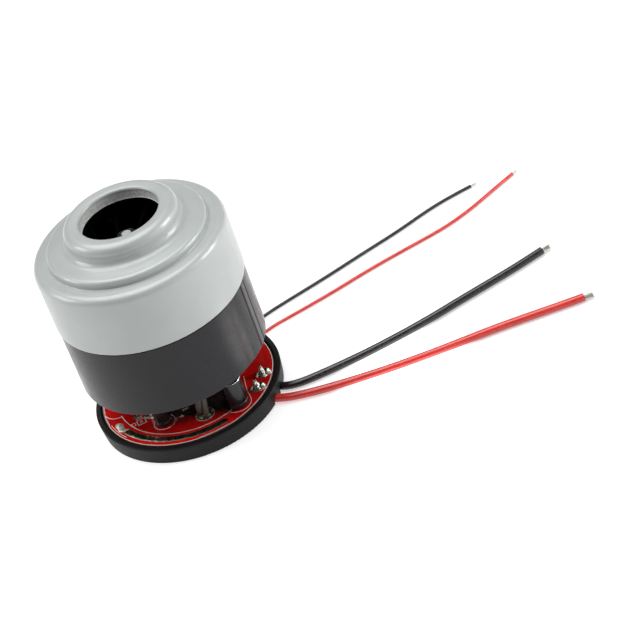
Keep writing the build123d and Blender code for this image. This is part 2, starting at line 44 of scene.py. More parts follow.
# ------------------------------------------------------------------ camera
DH, ZC = 628.216, 473.53
YAW, PITCH, ROLL = -0.0848, 0.633, -0.336
right = Vector((math.cos(YAW), math.sin(YAW), 0))
fwd = Vector((-math.sin(YAW) * math.cos(PITCH), math.cos(YAW) * math.cos(PITCH), -math.sin(PITCH)))
up = right.cross(fwd)
cx = right * math.cos(ROLL) + up * math.sin(ROLL)
cy = -right * math.sin(ROLL) + up * math.cos(ROLL)
cam_data = bpy.data.cameras.new("camera")
cam = bpy.data.objects.new("camera", cam_data)
scene.collection.objects.link(cam)
cam_data.sensor_width = 36.0
cam_data.lens = 2146.213 * 36.0 / 640.0
cam_data.clip_start, cam_data.clip_end = 0.05, 20.0
pose = Matrix((cx, cy, -fwd)).transposed().to_4x4()
pose.translation = Vector((0, -DH * MM, ZC * MM))
cam.matrix_world = pose
scene.camera = cam

# ------------------------------------------------------------------ material helpers


class Mat:
    """A Principled material with its node tree at hand; coordinates are the object's own, in metres."""

    def __init__(self, name, color, rough, metallic=0.0, ior=1.5, spec=0.5, coat=0.0, coat_rough=0.1):
        self.m = bpy.data.materials.new(name)
        self.m.use_nodes = True
        self.nt = self.m.node_tree
        self.nt.nodes.clear()
        self.out = self.nt.nodes.new("ShaderNodeOutputMaterial")
        self.b = self.nt.nodes.new("ShaderNodeBsdfPrincipled")
        self.nt.links.new(self.b.outputs[0], self.out.inputs[0])
        self.b.inputs["Base Color"].default_value = (*color, 1)
        self.b.inputs["Roughness"].default_value = rough
        self.b.inputs["Metallic"].default_value = metallic
        self.b.inputs["IOR"].default_value = ior
        self.b.inputs["Specular IOR Level"].default_value = spec
        self.b.inputs["Coat Weight"].default_value = coat
        self.b.inputs["Coat Roughness"].default_value = coat_rough
        self.tc = self.nt.nodes.new("ShaderNodeTexCoord")
        self.heights = []

    def node(self, kind, **kw):
        n = self.nt.nodes.new(kind)
        for k, v in kw.items():
            setattr(n, k, v)
        return n

    def link(self, a, b):
        self.nt.links.new(a, b)

    def coords(self, scale=(1, 1, 1), turn=(0, 0, 0), shift=(0, 0, 0)):
        mp = self.node("ShaderNodeMapping")
        mp.inputs["Scale"].default_value = scale
        mp.inputs["Rotation"].default_value = turn
        mp.inputs["Location"].default_value = shift
        self.link(self.tc.outputs["Object"], mp.inputs["Vector"])
        return mp.outputs["Vector"]

    def noise(self, scale, detail=4.0, rough=0.55, distortion=0.0, stretch=(1, 1, 1), shift=(0, 0, 0)):
        n = self.node("ShaderNodeTexNoise")
        n.inputs["Scale"].default_value = scale
        n.inputs["Detail"].default_value = detail
        n.inputs["Roughness"].default_value = rough
        n.inputs["Distortion"].default_value = distortion
        self.link(self.coords(stretch, shift=shift), n.inputs["Vector"])
        return n.outputs["Fac"]

    def wave(self, period, kind="BANDS", direction="Z", distortion=0.0, dscale=1.0):
        n = self.node("ShaderNodeTexWave", wave_type=kind)
        if kind == "BANDS":
            n.bands_direction = direction
        else:
            n.rings_direction = direction
        n.inputs["Scale"].default_value = 2 * math.pi / (20.0 * period)
        n.inputs["Distortion"].default_value = distortion
        n.inputs["Detail"].default_value = 1.0
        n.inputs["Detail Scale"].default_value = dscale
        self.link(self.coords(), n.inputs["Vector"])
        return n.outputs["Fac"]

    def spots(self, scale, size):
        """1 in small round spots, 0 elsewhere."""
        v = self.node("ShaderNodeTexVoronoi", feature="F1")
        v.inputs["Scale"].default_value = scale
        self.link(self.coords(), v.inputs["Vector"])
        r = self.node("ShaderNodeValToRGB")
        r.color_ramp.elements[0].position, r.color_ramp.elements[0].color = size * 0.6, (1, 1, 1, 1)
        r.color_ramp.elements[1].position, r.color_ramp.elements[1].color = size, (0, 0, 0, 1)
        self.link(v.outputs["Distance"], r.inputs["Fac"])
        return r.outputs["Color"]

    def ramp(self, fac, stops):
        r = self.node("ShaderNodeValToRGB")
        e = r.color_ramp.elements
        while len(e) < len(stops):
            e.new(0.5)
        for el, (pos, col) in zip(e, stops):
            el.position = pos
            el.color = (*col, 1) if len(col) == 3 else col
        self.link(fac, r.inputs["Fac"])
        return r.outputs["Color"]

    def span(self, fac, lo, hi, a=0.3, b=0.7):
        r = self.node("ShaderNodeMapRange")
        r.inputs["From Min"].default_value, r.inputs["From Max"].default_value = a, b
        r.inputs["To Min"].default_value, r.inputs["To Max"].default_value = lo, hi
        self.link(fac, r.inputs["Value"])
        return r.outputs["Result"]

    def mix(self, fac, a, b, blend="MIX"):
        n = self.node("ShaderNodeMix", data_type="RGBA", blend_type=blend)
        for sock, val in ((n.inputs[0], fac), (n.inputs[6], a), (n.inputs[7], b)):
            if isinstance(val, bpy.types.NodeSocket):
                self.link(val, sock)
            else:
                sock.default_value = val if isinstance(val, (int, float)) else ((*val, 1) if len(val) == 3 else val)
        return n.outputs[2]

    def color(self, out):
        self.link(out, self.b.inputs["Base Color"])
        return self

    def rough(self, out):
        self.link(out, self.b.inputs["Roughness"])
        return self

    def bump(self, height, distance, strength=1.0):
        n = self.node("ShaderNodeBump")
        n.inputs["Strength"].default_value = strength
        n.inputs["Distance"].default_value = distance
        self.link(height, n.inputs["Height"])
        if self.heights:
            self.link(self.heights[-1], n.inputs["Normal"])
        self.heights.append(n.outputs["Normal"])
        self.link(n.outputs["Normal"], self.b.inputs["Normal"])
        return self


def plastic(name, color, color2, rough, grain=0.00004, gscale=1500, mottle=90, spec=0.5, **kw):
    m = Mat(name, color, rough, spec=spec, **kw)
    m.color(m.ramp(m.noise(mottle, 5), [(0.3, color), (0.7, color2)]))
    m.rough(m.span(m.noise(mottle * 3.1, 4), rough - 0.05, rough + 0.07))
    m.bump(m.noise(gscale, 3, 0.6), grain)
    return m


def metal(name, color, color2, rough, grain=0.00002, gscale=900, mottle=160, stretch=(1, 1, 1), **kw):
    m = Mat(name, color, rough, metallic=1.0, **kw)
    m.color(m.ramp(m.noise(mottle, 5), [(0.3, color), (0.7, color2)]))
    m.rough(m.span(m.noise(mottle * 2.3, 4), rough - 0.06, rough + 0.09))
    m.bump(m.noise(gscale, 4, 0.6, stretch=stretch), grain)
    return m


# ------------------------------------------------------------------ mesh helpers
def put(name, bm, mats, body="root", smooth=True, sharp=35.0, node=None):
    me = bpy.data.meshes.new(name)
    bmesh.ops.recalc_face_normals(bm, faces=bm.faces)
    bm.to_mesh(me)
    bm.free()
    for m in mats:
        me.materials.append(m)
    if smooth:
        me.shade_smooth()
        me.set_sharp_from_angle(angle=math.radians(sharp))
    o = bpy.data.objects.new(name, me)
    scene.collection.objects.link(o)
    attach(o, body)
    if node:
        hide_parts(*([node] if isinstance(node, str) else node))
    return o


def rounded(points, n=6, support=0.12):
    """Outline points (r, z[, corner radius]) with arcs, and a support point beside each arc on long runs."""
    out = []
    k = len(points)
    for i, p in enumerate(points):
        c0 = Vector((p[0], p[1]))
        rad = p[2] if len(p) > 2 else 0.0
        if not rad:
            out.append((c0.x, c0.y))
            continue
        a, b = Vector(points[i - 1][:2]), Vector(points[(i + 1) % k][:2])
        ua, ub = (a - c0).normalized(), (b - c0).normalized()
        ang = ua.angle(ub)
        d = rad / math.tan(ang / 2)
        c = c0 + (ua + ub).normalized() * rad / math.sin(ang / 2)
        p1, p2 = c0 + ua * d, c0 + ub * d
        a1, a2 = math.atan2(p1.y - c.y, p1.x - c.x), math.atan2(p2.y - c.y, p2.x - c.x)
        da = (a2 - a1 + math.pi) % (2 * math.pi) - math.pi
        if support and (a - p1).length > support * 3:
            q = p1 + ua * support
            out.append((q.x, q.y))
        for j in range(n + 1):
            t = a1 + da * j / n
            out.append((c.x + rad * math.cos(t), c.y + rad * math.sin(t)))
        if support and (b - p2).length > support * 3:
            q = p2 + ub * support
            out.append((q.x, q.y))
    return out


def revolve(bm, outline, segs=128, centre=(0.0, 0.0), z0=0.0, mat=0, mat_of=None, closed=True, wobble=None):
    """Turns a closed outline in (r, z) millimetres about a vertical axis. Points at r 0 become one vertex."""
    rings = []
    for r, z in outline:
        if r < 1e-6:
            rings.append([bm.verts.new(((centre[0]) * MM, centre[1] * MM, (z + z0) * MM))])
            continue
        ring = []
        for s in range(segs):
            a = 2 * math.pi * s / segs
            rr, zz = (r, z) if wobble is None else wobble(r, z, a)
            ring.append(bm.verts.new(((centre[0] + rr * math.cos(a)) * MM, (centre[1] + rr * math.sin(a)) * MM, (zz + z0) * MM)))
        rings.append(ring)
    n = len(rings)
    for i in range(n if closed else n - 1):
        a, b = rings[i], rings[(i + 1) % n]
        if len(a) == 1 and len(b) == 1:
            continue
        for s in range(segs):
            t = (s + 1) % segs
            if len(a) == 1:
                vs = (a[0], b[t], b[s])
            elif len(b) == 1:
                vs = (a[s], a[t], b[0])
            else:
                vs = (a[s], a[t], b[t], b[s])
            f = bm.faces.new(vs)
            f.material_index = mat if mat_of is None else mat_of(i, s)
    return rings


def sweep(bm, pts, radius, n=8, mat=0, caps=True, flat=(1.0, 1.0), up0=None):
    """Round tube along points in millimetres; radius is a number or one per point."""
    pts = [Vector(p) for p in pts]
    radii = radius if isinstance(radius, (list, tuple)) else [radius] * len(pts)
    rings, prev = [], None
    for i, p in enumerate(pts):
        t = (pts[min(i + 1, len(pts) - 1)] - pts[max(i - 1, 0)]).normalized()
        if prev is None:
            ref = Vector(up0) if up0 else (Vector((0, 0, 1)) if abs(t.z) < 0.9 else Vector((1, 0, 0)))
            side = t.cross(ref).normalized()
        else:
            side = (prev - t * prev.dot(t)).normalized()
        prev = side
        upv = side.cross(t).normalized()
        ring = []
        for k in range(n):
            a = 2 * math.pi * k / n
            q = p + side * (math.cos(a) * radii[i] * flat[0]) + upv * (math.sin(a) * radii[i] * flat[1])
            ring.append(bm.verts.new(q * MM))
        rings.append(ring)
    for a, b in zip(rings, rings[1:]):
        for k in range(n):
            f = bm.faces.new((a[k], a[(k + 1) % n], b[(k + 1) % n], b[k]))
            f.material_index = mat
    if caps:
        for ring in (rings[0][::-1], rings[-1]):
            f = bm.faces.new(ring)
            f.material_index = mat
    return rings


def brick(bm, size, at, turn=0.0, bevel=0.06, segs=2, mat=0, taper=0.0, tilt=None):
    """Bevelled block in millimetres. at is the middle of its underside; taper narrows the top."""
    w, d, h = size
    vs = []
    for z, k in ((0, 1.0), (h, 1.0 - taper)):
        for x, y in ((-1, -1), (1, -1), (1, 1), (-1, 1)):
            vs.append(bm.verts.new((x * w / 2 * k, y * d / 2 * k, z)))
    faces = [(3, 2, 1, 0), (4, 5, 6, 7), (0, 1, 5, 4), (1, 2, 6, 5), (2, 3, 7, 6), (3, 0, 4, 7)]
    fs = [bm.faces.new([vs[i] for i in f]) for f in faces]
    geom = set(vs)
    if bevel:
        es = list({e for f in fs for e in f.edges})
        r = bmesh.ops.bevel(bm, geom=es, offset=bevel, segments=segs, profile=0.6, affect="EDGES", clamp_overlap=True)
        geom = set(r["verts"]) | {v for f in r["faces"] for v in f.verts} | {v for v in vs if v.is_valid}
        for f in {f for v in geom for f in v.link_faces}:
            geom |= set(f.verts)
    m = Matrix.Translation(Vector(at) * MM) @ Matrix.Rotation(math.radians(turn), 4, "Z")
    if tilt:
        m = m @ tilt
    m = m @ Matrix.Scale(MM, 4)
    seen = set()
    for v in geom:
        if v.is_valid:
            v.co = m @ v.co
            seen |= set(v.link_faces)
    for f in seen:
        f.material_index = mat
    return list(seen)


def ribbon(bm, pts, width, z0, z1, mat=0, closed=False):
    """Flat printed line of real thickness along (x, y) points in millimetres."""
    p = [Vector((a[0], a[1])) for a in pts]
    n = len(p)
    L, R = [], []
    for i in range(n):
        if closed:
            a, b = p[i - 1], p[(i + 1) % n]
        else:
            a, b = p[max(i - 1, 0)], p[min(i + 1, n - 1)]
        t = (b - a).normalized()
        nrm = Vector((-t.y, t.x))
        k = 1.0
        if 0 < i < n - 1 or closed:
            t1 = (p[i] - p[i - 1]).normalized()
            c = max(0.4, nrm.dot(Vector((-t1.y, t1.x))))
            k = 1.0 / c
        L.append(p[i] + nrm * width / 2 * k)
        R.append(p[i] - nrm * width / 2 * k)
    rows = [[bm.verts.new((q.x * MM, q.y * MM, z * MM)) for q, z in ((L[i], z0), (L[i], z1), (R[i], z1), (R[i], z0))] for i in range(n)]
    m = n if closed else n - 1
    for i in range(m):
        a, b = rows[i], rows[(i + 1) % n]
        for k in range(4):
            f = bm.faces.new((a[k], a[(k + 1) % 4], b[(k + 1) % 4], b[k]))
            f.material_index = mat
    if not closed:
        for row in (rows[0][::-1], rows[-1]):
            bm.faces.new(row).material_index = mat


def arc(cx0, cy0, r, a0, a1, step=3.0):
    n = max(2, int(abs(a1 - a0) / step) + 1)
    return [(cx0 + r * math.cos(math.radians(a0 + (a1 - a0) * i / (n - 1))), cy0 + r * math.sin(math.radians(a0 + (a1 - a0) * i / (n - 1)))) for i in range(n)]


def polar(r, az):
    return r * math.cos(math.radians(az)), r * math.sin(math.radians(az))


def triad(r, az0):
    return [polar(r, az0 + 120.0 * k) for k in range(3)]


# ------------------------------------------------------------------ leads, built first
POWER_BLACK = [(27.5, -12.4), (31.0, -16.0), (37.0, -18.0), (45.5, -17.9), (59.8, -17.0), (74.4, -15.0), (89.6, -12.2),
               (105.4, -8.1), (120.9, -4.5), (131.0, -1.9), (139.7, 0.8)]
POWER_RED = [(23.9, -18.8), (29.6, -22.4), (36.6, -24.8), (45.5, -26.8), (56.2, -28.4), (69.7, -30.0), (83.2, -30.9),
             (97.0, -31.4), (110.8, -31.8), (124.3, -32.9), (134.5, -33.8), (142.5, -34.3)]
SIGNAL_RED = [(27.2, 16.2), (35.3, 21.0), (47.9, 23.6), (63.6, 27.2), (79.7, 31.8), (95.7, 35.3),
              (111.7, 38.4), (120.6, 41.4), (129.4, 45.4), (138.8, 50.6), (148.3, 55.5)]
SIGNAL_BLACK = [(21.6, 20.6), (27.8, 25.6), (37.5, 30.3), (48.2, 33.5), (64.3, 38.0), (80.9, 43.4),
                (97.6, 48.4), (111.0, 53.7), (122.0, 56.8), (131.6, 58.4)]


def silicone(name, color, color2, rough, coat):
    m = Mat(name, color, rough, ior=1.42, spec=0.5, coat=coat, coat_rough=0.10)
    m.color(m.ramp(m.noise(240, 4), [(0.3, color), (0.7, color2)]))
    m.rough(m.span(m.noise(700, 3), rough - 0.05, rough + 0.08))
    m.bump(m.noise(420, 2, 0.4), 0.00003)
    m.bump(m.noise(5200, 2, 0.5), 0.000004)
    return m


M_SIL_RED = silicone("silicone_red", (0.57, 0.034, 0.027), (0.66, 0.050, 0.038), 0.21, 0.55)
M_SIL_BLACK = silicone("silicone_black", (0.012, 0.012, 0.013), (0.020, 0.020, 0.022), 0.19, 0.45)
M_TIN_CU = metal("tinned_copper", (0.62, 0.62, 0.57), (0.44, 0.45, 0.42), 0.34, grain=0.00002, gscale=2600, mottle=900)


def strands(name, pts, z, d, tip_len, count, wire, seed, curl, node, lift=0.0):
    """Bared conductor at a lead's far end: fine tinned wires, twisted where they leave the insulation and spread a little."""
    rng = random.Random(seed)
    a, b = Vector(pts[-2]), Vector(pts[-1])
    h = (b - a).normalized()
    ax = Vector((h.x, h.y, 0))
    side = Vector((-h.y, h.x, 0))
    upv = Vector((0, 0, 1))
    start = Vector((b.x, b.y, z))
    bm = bmesh.new()
    layout = [(0, 0)]
    ring, left = 1, count - 1
    while left > 0:
        k = min(left, 6 * ring)
        layout += [(ring, 2 * math.pi * i / k) for i in range(k)]
        left -= k
        ring += 1
    for rr, ang in layout:
        r0 = rr * wire * 2.05
        dr = curl * (0.35 + rng.random()) * (1 if rr else 0.3)
        tw = 1.15 + 0.25 * rng.random()
        ln = tip_len * (0.80 + 0.20 * rng.random())
        ph = ang
        line = []
        for i in range(9):
            t = i / 8
            rad = r0 * (1 - 0.10 * t) + dr * t * t * wire * 4
            th = ph + tw * t
            p = start + ax * (-1.2 + (ln + 1.2) * t) + side * (rad * math.cos(th)) + upv * (rad * math.sin(th) + lift * t * t)
            p.z = max(p.z, wire * 1.1)
            line.append(p)
        sweep(bm, line, wire, 7)
    return put(name, bm, [M_TIN_CU.m], "root", sharp=50, node=node)


def lead(node, pts, z, d, mat):
    cu = bpy.data.curves.new(node + "_line", "CURVE")
    cu.dimensions = "3D"
    sp = cu.splines.new("NURBS")
    sp.points.add(len(pts) - 1)
    for p, (x, y) in zip(sp.points, pts):
        p.co = (x * MM, y * MM, z * MM, 1.0)
    sp.order_u = 3
    sp.use_endpoint_u = True
    sp.resolution_u = 16
    cu.bevel_depth = d / 2 * MM
    cu.bevel_resolution = 7
    cu.use_fill_caps = True
    cu.materials.append(mat.m)
    o = bpy.data.objects.new(node + "_sleeve", cu)
    scene.collection.objects.link(o)
    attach(o, "root")
    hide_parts(node)
    # where the lead passes the tray's wall
    out = None
    for a, b in zip(pts, pts[1:]):
        ra, rb = math.hypot(*a), math.hypot(*b)
        if ra <= 34.7 <= rb or (out is None and ra > 34.7):
            t = 0 if ra > 34.7 else (34.7 - ra) / (rb - ra)
            out = (a[0] + (b[0] - a[0]) * t, a[1] + (b[1] - a[1]) * t)
            break
    return o


tips = {
    "power_lead_black": strands("power_black_strands", POWER_BLACK, 1.55, 3.0, 3.6, 37, 0.125, 11, 0.55, "power_lead_black_tip"),
    "power_lead_red": strands("power_red_strands", POWER_RED, 1.55, 3.0, 3.6, 37, 0.125, 12, 0.55, "power_lead_red_tip"),
    "signal_lead_red": strands("signal_red_strands", SIGNAL_RED, 0.70, 1.3, 2.5, 7, 0.10, 13, 0.35, "signal_lead_red_tip"),
    "signal_lead_black": strands("signal_black_strands", SIGNAL_BLACK, 0.70, 1.3, 2.5, 7, 0.10, 14, 0.35, "signal_lead_black_tip"),
}
lead("power_lead_black", POWER_BLACK, 1.55, 3.0, M_SIL_BLACK)
lead("power_lead_red", POWER_RED, 1.55, 3.0, M_SIL_RED)
lead("signal_lead_red", SIGNAL_RED, 0.70, 1.3, M_SIL_RED)
lead("signal_lead_black", SIGNAL_BLACK, 0.70, 1.3, M_SIL_BLACK)

# ------------------------------------------------------------------ finishes
M_COVER = Mat("silver_paint", (0.46, 0.48, 0.47), 0.42, metallic=0.12, coat=0.40, coat_rough=0.06)
M_COVER.color(M_COVER.ramp(M_COVER.noise(60, 6, 0.6), [(0.25, (0.397, 0.422, 0.413)), (0.75, (0.432, 0.458, 0.448))]))
M_COVER.rough(M_COVER.span(M_COVER.noise(320, 4), 0.38, 0.50))
M_COVER.bump(M_COVER.noise(38, 2, 0.4), 0.00010)
M_COVER.bump(M_COVER.noise(2600, 3, 0.6), 0.000010)

M_THROAT = Mat("throat_wall", (0.62, 0.63, 0.62), 0.50, metallic=0.10)
M_THROAT.color(M_THROAT.ramp(M_THROAT.noise(1300, 3, 0.7), [(0.34, (0.50, 0.51, 0.50)), (0.66, (0.80, 0.81, 0.79))]))
M_THROAT.rough(M_THROAT.span(M_THROAT.noise(1700, 3), 0.36, 0.58))
M_THROAT.bump(M_THROAT.noise(1500, 2, 0.6), 0.00007)
M_HOUSING = plastic("housing_plastic", (0.0062, 0.0058, 0.0082), (0.0086, 0.0080, 0.0108), 0.24, grain=0.0000010, gscale=3000, mottle=70, spec=0.33)
M_SEAM = plastic("seam_shadow", (0.003, 0.003, 0.003), (0.006, 0.006, 0.006), 0.6)
M_TRAY = plastic("tray_plastic", (0.0050, 0.0052, 0.0051), (0.0090, 0.0093, 0.0091), 0.50, grain=0.00008, gscale=1700, mottle=260, spec=0.20)
M_BLACK = plastic("moulded_black", (0.009, 0.009, 0.009), (0.015, 0.015, 0.015), 0.48, grain=0.00006, gscale=1200, mottle=120)
M_IMP = plastic("impeller_black", (0.0016, 0.0016, 0.0018), (0.0030, 0.0030, 0.0033), 0.80, grain=0.00004, gscale=1400, mottle=150, spec=0.03)
M_SOLDER = metal("solder", (0.74, 0.75, 0.74), (0.58, 0.60, 0.58), 0.20, grain=0.00010, gscale=420, mottle=380)
M_NICKEL = metal("nickel_brass", (0.66, 0.62, 0.54), (0.56, 0.53, 0.47), 0.27, gscale=700, mottle=240, stretch=(1, 1, 6))
M_ZINC = metal("zinc_steel", (0.66, 0.67, 0.68), (0.54, 0.56, 0.58), 0.30, gscale=1500, mottle=420)
M_SHAFT = metal("shaft_steel", (0.66, 0.66, 0.66), (0.56, 0.56, 0.57), 0.24, grain=0.000008, gscale=900, mottle=300, stretch=(1, 1, 8))
M_SPRING = metal("spring_steel", (0.30, 0.31, 0.34), (0.40, 0.37, 0.33), 0.30, gscale=1100)
M_BEARING = metal("bearing_steel", (0.72, 0.72, 0.73), (0.62, 0.62, 0.64), 0.18, grain=0.000006, gscale=1800)
M_CAGE = plastic("cage_nylon", (0.70, 0.64, 0.50), (0.76, 0.70, 0.57), 0.42, gscale=1500)
M_CAST = metal("cast_aluminium", (0.60, 0.60, 0.61), (0.48, 0.48, 0.49), 0.46, grain=0.00012, gscale=900, mottle=140)
M_BRACKET = plastic("bracket_black", (0.010, 0.010, 0.0105), (0.017, 0.017, 0.0175), 0.42, grain=0.00005, gscale=1300, mottle=200, spec=0.35)
M_LAM = metal("lamination_steel", (0.30, 0.31, 0.33), (0.42, 0.43, 0.44), 0.38, gscale=1200)
M_LAM.bump(M_LAM.wave(0.0005, "BANDS", "Z"), 0.00006)
M_MAGNET = plastic("magnet_ferrite", (0.035, 0.035, 0.037), (0.060, 0.060, 0.063), 0.55, grain=0.00008, gscale=1100, mottle=300)
M_NYLON = plastic("insulator_nylon", (0.62, 0.59, 0.50), (0.70, 0.67, 0.59), 0.40, gscale=1300)
M_COIL = Mat("enamelled_copper", (0.60, 0.23, 0.09), 0.22, metallic=0.9, coat=0.5, coat_rough=0.12)
M_COIL.color(M_COIL.ramp(M_COIL.noise(300, 4), [(0.3, (0.56, 0.20, 0.07)), (0.7, (0.70, 0.30, 0.13))]))
M_COIL.rough(M_COIL.span(M_COIL.noise(500, 3), 0.18, 0.30))
M_COIL.bump(M_COIL.wave(0.00046, "RINGS", "Z", distortion=0.4), 0.00020)



def painted_shade_beneath_motor(m):
    """1 on the part of the board that no light reaches beneath the motor, where the board's colour is painted
    near-black as shade; 0 elsewhere.
    """
    dot = m.node("ShaderNodeVectorMath", operation="DOT_PRODUCT")
    dot.inputs[1].default_value = (0.364, 0.931, 0.0)
    m.link(m.coords(), dot.inputs[0])
    far = m.node("ShaderNodeVectorMath", operation="LENGTH")
    m.link(m.coords(), far.inputs[0])
    sep = m.node("ShaderNodeSeparateXYZ")
    m.link(m.coords(), sep.inputs[0])
    parts = []
    for src, a0, a1, b0, b1 in ((dot.outputs["Value"], -0.0190, -0.0172, 0.0, 1.0), (far.outputs["Value"], 0.0258, 0.0285, 1.0, 0.0),
                                (sep.outputs[0], -0.0125, -0.0095, 0.0, 1.0), (sep.outputs[0], 0.0145, 0.0185, 1.0, 0.0)):
        r = m.node("ShaderNodeMapRange", interpolation_type="SMOOTHSTEP")
        for k, v in (("From Min", a0), ("From Max", a1), ("To Min", b0), ("To Max", b1)):
            r.inputs[k].default_value = v
        m.link(src, r.inputs["Value"])
        parts.append(r.outputs["Result"])
    out = parts[0]
    for q in parts[1:]:
        mul = m.node("ShaderNodeMath", operation="MULTIPLY")
        m.link(out, mul.inputs[0])
        m.link(q, mul.inputs[1])
        out = mul.outputs[0]
    return out


M_MASK = Mat("board_red", (0.42, 0.010, 0.010), 0.13, ior=1.5)
grow = M_MASK.noise(420, 2, 0.4, stretch=(1, 0.35, 1))
# board red in random tone; beneath the motor the colour is painted near-black as shade
M_MASK.color(M_MASK.mix(painted_shade_beneath_motor(M_MASK), M_MASK.mix(M_MASK.span(M_MASK.noise(130, 6, 0.6), 0.0, 1.0), (0.56, 0.003, 0.003), (0.70, 0.006, 0.005)), (0.012, 0.003, 0.002)))
M_MASK.rough(M_MASK.span(M_MASK.noise(900, 3), 0.10, 0.17))
M_MASK.bump(grow, 0.00003)
M_MASK.bump(M_MASK.noise(3000, 2, 0.5), 0.000006)
M_TRACE = Mat("board_red_over_copper", (0.62, 0.010, 0.008), 0.13, ior=1.5)
# resist over copper, a lighter red; beneath the motor the colour is painted near-black as shade
M_TRACE.color(M_TRACE.mix(painted_shade_beneath_motor(M_TRACE), M_TRACE.ramp(M_TRACE.noise(300, 4), [(0.3, (0.70, 0.006, 0.005)), (0.7, (0.82, 0.013, 0.009))]), (0.020, 0.004, 0.003)))
M_TRACE.rough(M_TRACE.span(M_TRACE.noise(900, 3), 0.10, 0.17))
M_TRACE.bump(M_TRACE.noise(1800, 3, 0.5), 0.00001)
M_EDGE = plastic("laminate_edge", (0.050, 0.018, 0.011), (0.085, 0.032, 0.020), 0.6, grain=0.00008, gscale=2200, mottle=800)
M_EDGE.bump(M_EDGE.wave(0.0002, "BANDS", "Z", distortion=1.0), 0.00003)
M_PRINT = plastic("board_print", (0.96, 0.92, 0.88), (0.88, 0.83, 0.79), 0.55, grain=0.00003, gscale=4000, mottle=1500)
M_SLEEVE = plastic("capacitor_sleeve", (0.0045, 0.0045, 0.0055), (0.0080, 0.0080, 0.0095), 0.22, grain=0.00002, gscale=500, mottle=200)
M_STRIPE = plastic("capacitor_stripe", (0.30, 0.31, 0.33), (0.36, 0.37, 0.39), 0.26, grain=0.00002, gscale=500, mottle=200)
M_CAN = metal("capacitor_can", (0.72, 0.73, 0.74), (0.62, 0.63, 0.65), 0.26, grain=0.00002, gscale=1500, mottle=500)
M_RUBBER = plastic("rubber_bung", (0.012, 0.012, 0.012), (0.02, 0.02, 0.02), 0.65, grain=0.00005)
M_CHIP = plastic("chip_black", (0.013, 0.013, 0.014), (0.020, 0.020, 0.021), 0.50, grain=0.00006, gscale=3800, mottle=500)
M_CERAMIC = plastic("chip_ceramic", (0.36, 0.27, 0.17), (0.43, 0.33, 0.22), 0.45, grain=0.00003, gscale=3000, mottle=900)
M_ALUMINA = plastic("chip_alumina", (0.66, 0.66, 0.62), (0.74, 0.74, 0.70), 0.5, grain=0.00003, gscale=3000, mottle=900)
M_BAND = metal("tinned_band", (0.085, 0.085, 0.058), (0.24, 0.25, 0.19), 0.30, grain=0.00022, gscale=330, mottle=520)
M_PHASE = plastic("phase_sleeve", (0.075, 0.062, 0.054), (0.125, 0.108, 0.094), 0.40, grain=0.00008, gscale=1300, mottle=420)

PLAIN = {
    "diffuser": M_BLACK, "impeller": M_IMP, "impeller_shroud": M_IMP, "board_tray": M_TRAY,
    "board_standoffs": M_NICKEL, "board_screws": M_ZINC, "through_bolts": M_ZINC, "diffuser_screws": M_ZINC,
    "impeller_nut": M_ZINC, "impeller_washer": M_ZINC, "motor_shaft": M_SHAFT, "impeller_spacer": M_SHAFT,
    "rotor_spacer_lower": M_SHAFT, "rotor_spacer_upper": M_SHAFT, "preload_washer": M_SPRING,
    "motor_frame": M_CAST, "bearing_bracket": M_BRACKET, "stator_core": M_LAM, "rotor_core": M_LAM, "rotor_magnet": M_MAGNET,
    "stator_insulator_lower": M_NYLON, "stator_insulator_upper": M_NYLON, "stator_coils": M_COIL,
}
for t in ("lower", "upper"):
    for n in ("outer_ring", "inner_ring", "balls", "shields"):
        PLAIN[f"{t}_bearing_{n}"] = M_BEARING
    PLAIN[f"{t}_bearing_cage"] = M_CAGE
for n, m in PLAIN.items():
    me = NODES[n].data
    me.materials.clear()
    me.materials.append(m.m)

# ------------------------------------------------------------------ cover: one pressing, painted
T = 0.8
COVER = [
    (35.0, 51.2, 0.25), (35.0, 75.0, 2.8), (29.0, 75.0, 0.5), (29.0, 77.95, 1.7),
    (24.9, 78.35, 8.0), (20.7, 78.75, 3.2), (20.7, 85.7, 3.2),
    (16.9, 85.7, 0.0), (14.3, 85.5, 1.0), (14.3, 84.3, 0.08), (14.46, 84.2, 0.05),
    (14.46, 81.42, 0.05), (14.3, 81.34, 0.05), (14.3, 81.0, 0.12),
    (14.3 + T, 81.0, 0.2), (14.3 + T, 85.35 - T, 0.9), (16.9, 85.7 - T, 0.0),
    (20.7 - T, 85.7 - T, 2.3), (20.7 - T, 78.75 - T, 4.1), (24.7, 78.35 - T, 8.0),
    (29.0 - T, 77.95 - T, 0.9), (29.0 - T, 75.0 - T, 1.2), (35.0 - T, 75.0 - T, 2.0),
    (35.0 - T, 51.2, 0.25)]
bm = bmesh.new()
revolve(bm, rounded(COVER, 8), 288)
for f in bm.faces:
    c = f.calc_center_median()
    if math.hypot(c.x, c.y) < 0.01475 and 0.0813 < c.z < 0.0843:
        f.material_index = 1
put("cover_shell", bm, [M_COVER.m, M_THROAT.m], sharp=60, node="fan_cover")

# ------------------------------------------------------------------ housing, with its moulding seam
bm = bmesh.new()
SEAM_AZ = math.radians(-32.0)


def seam(r, z, a):
    """The joint of the moulding: a low bead that leans outward, between a fine line and a deeper groove."""
    d = ((a - SEAM_AZ + math.pi) % (2 * math.pi) - math.pi) * 34.6
    if r < 34.3 or z > 50.9:
        return r, z
    if abs(d) < 0.22:
        return r - 0.13 * (1 - abs(d) / 0.22), z
    if 0.22 <= d < 3.5:
        return r + 0.30 * min(1.0, (d - 0.22) / 0.25) * (3.5 - d) / 3.28, z
    if 3.5 <= d < 4.5:
        return r - 0.30 * (1 - abs(d - 4.0) / 0.5), z
    return r, z


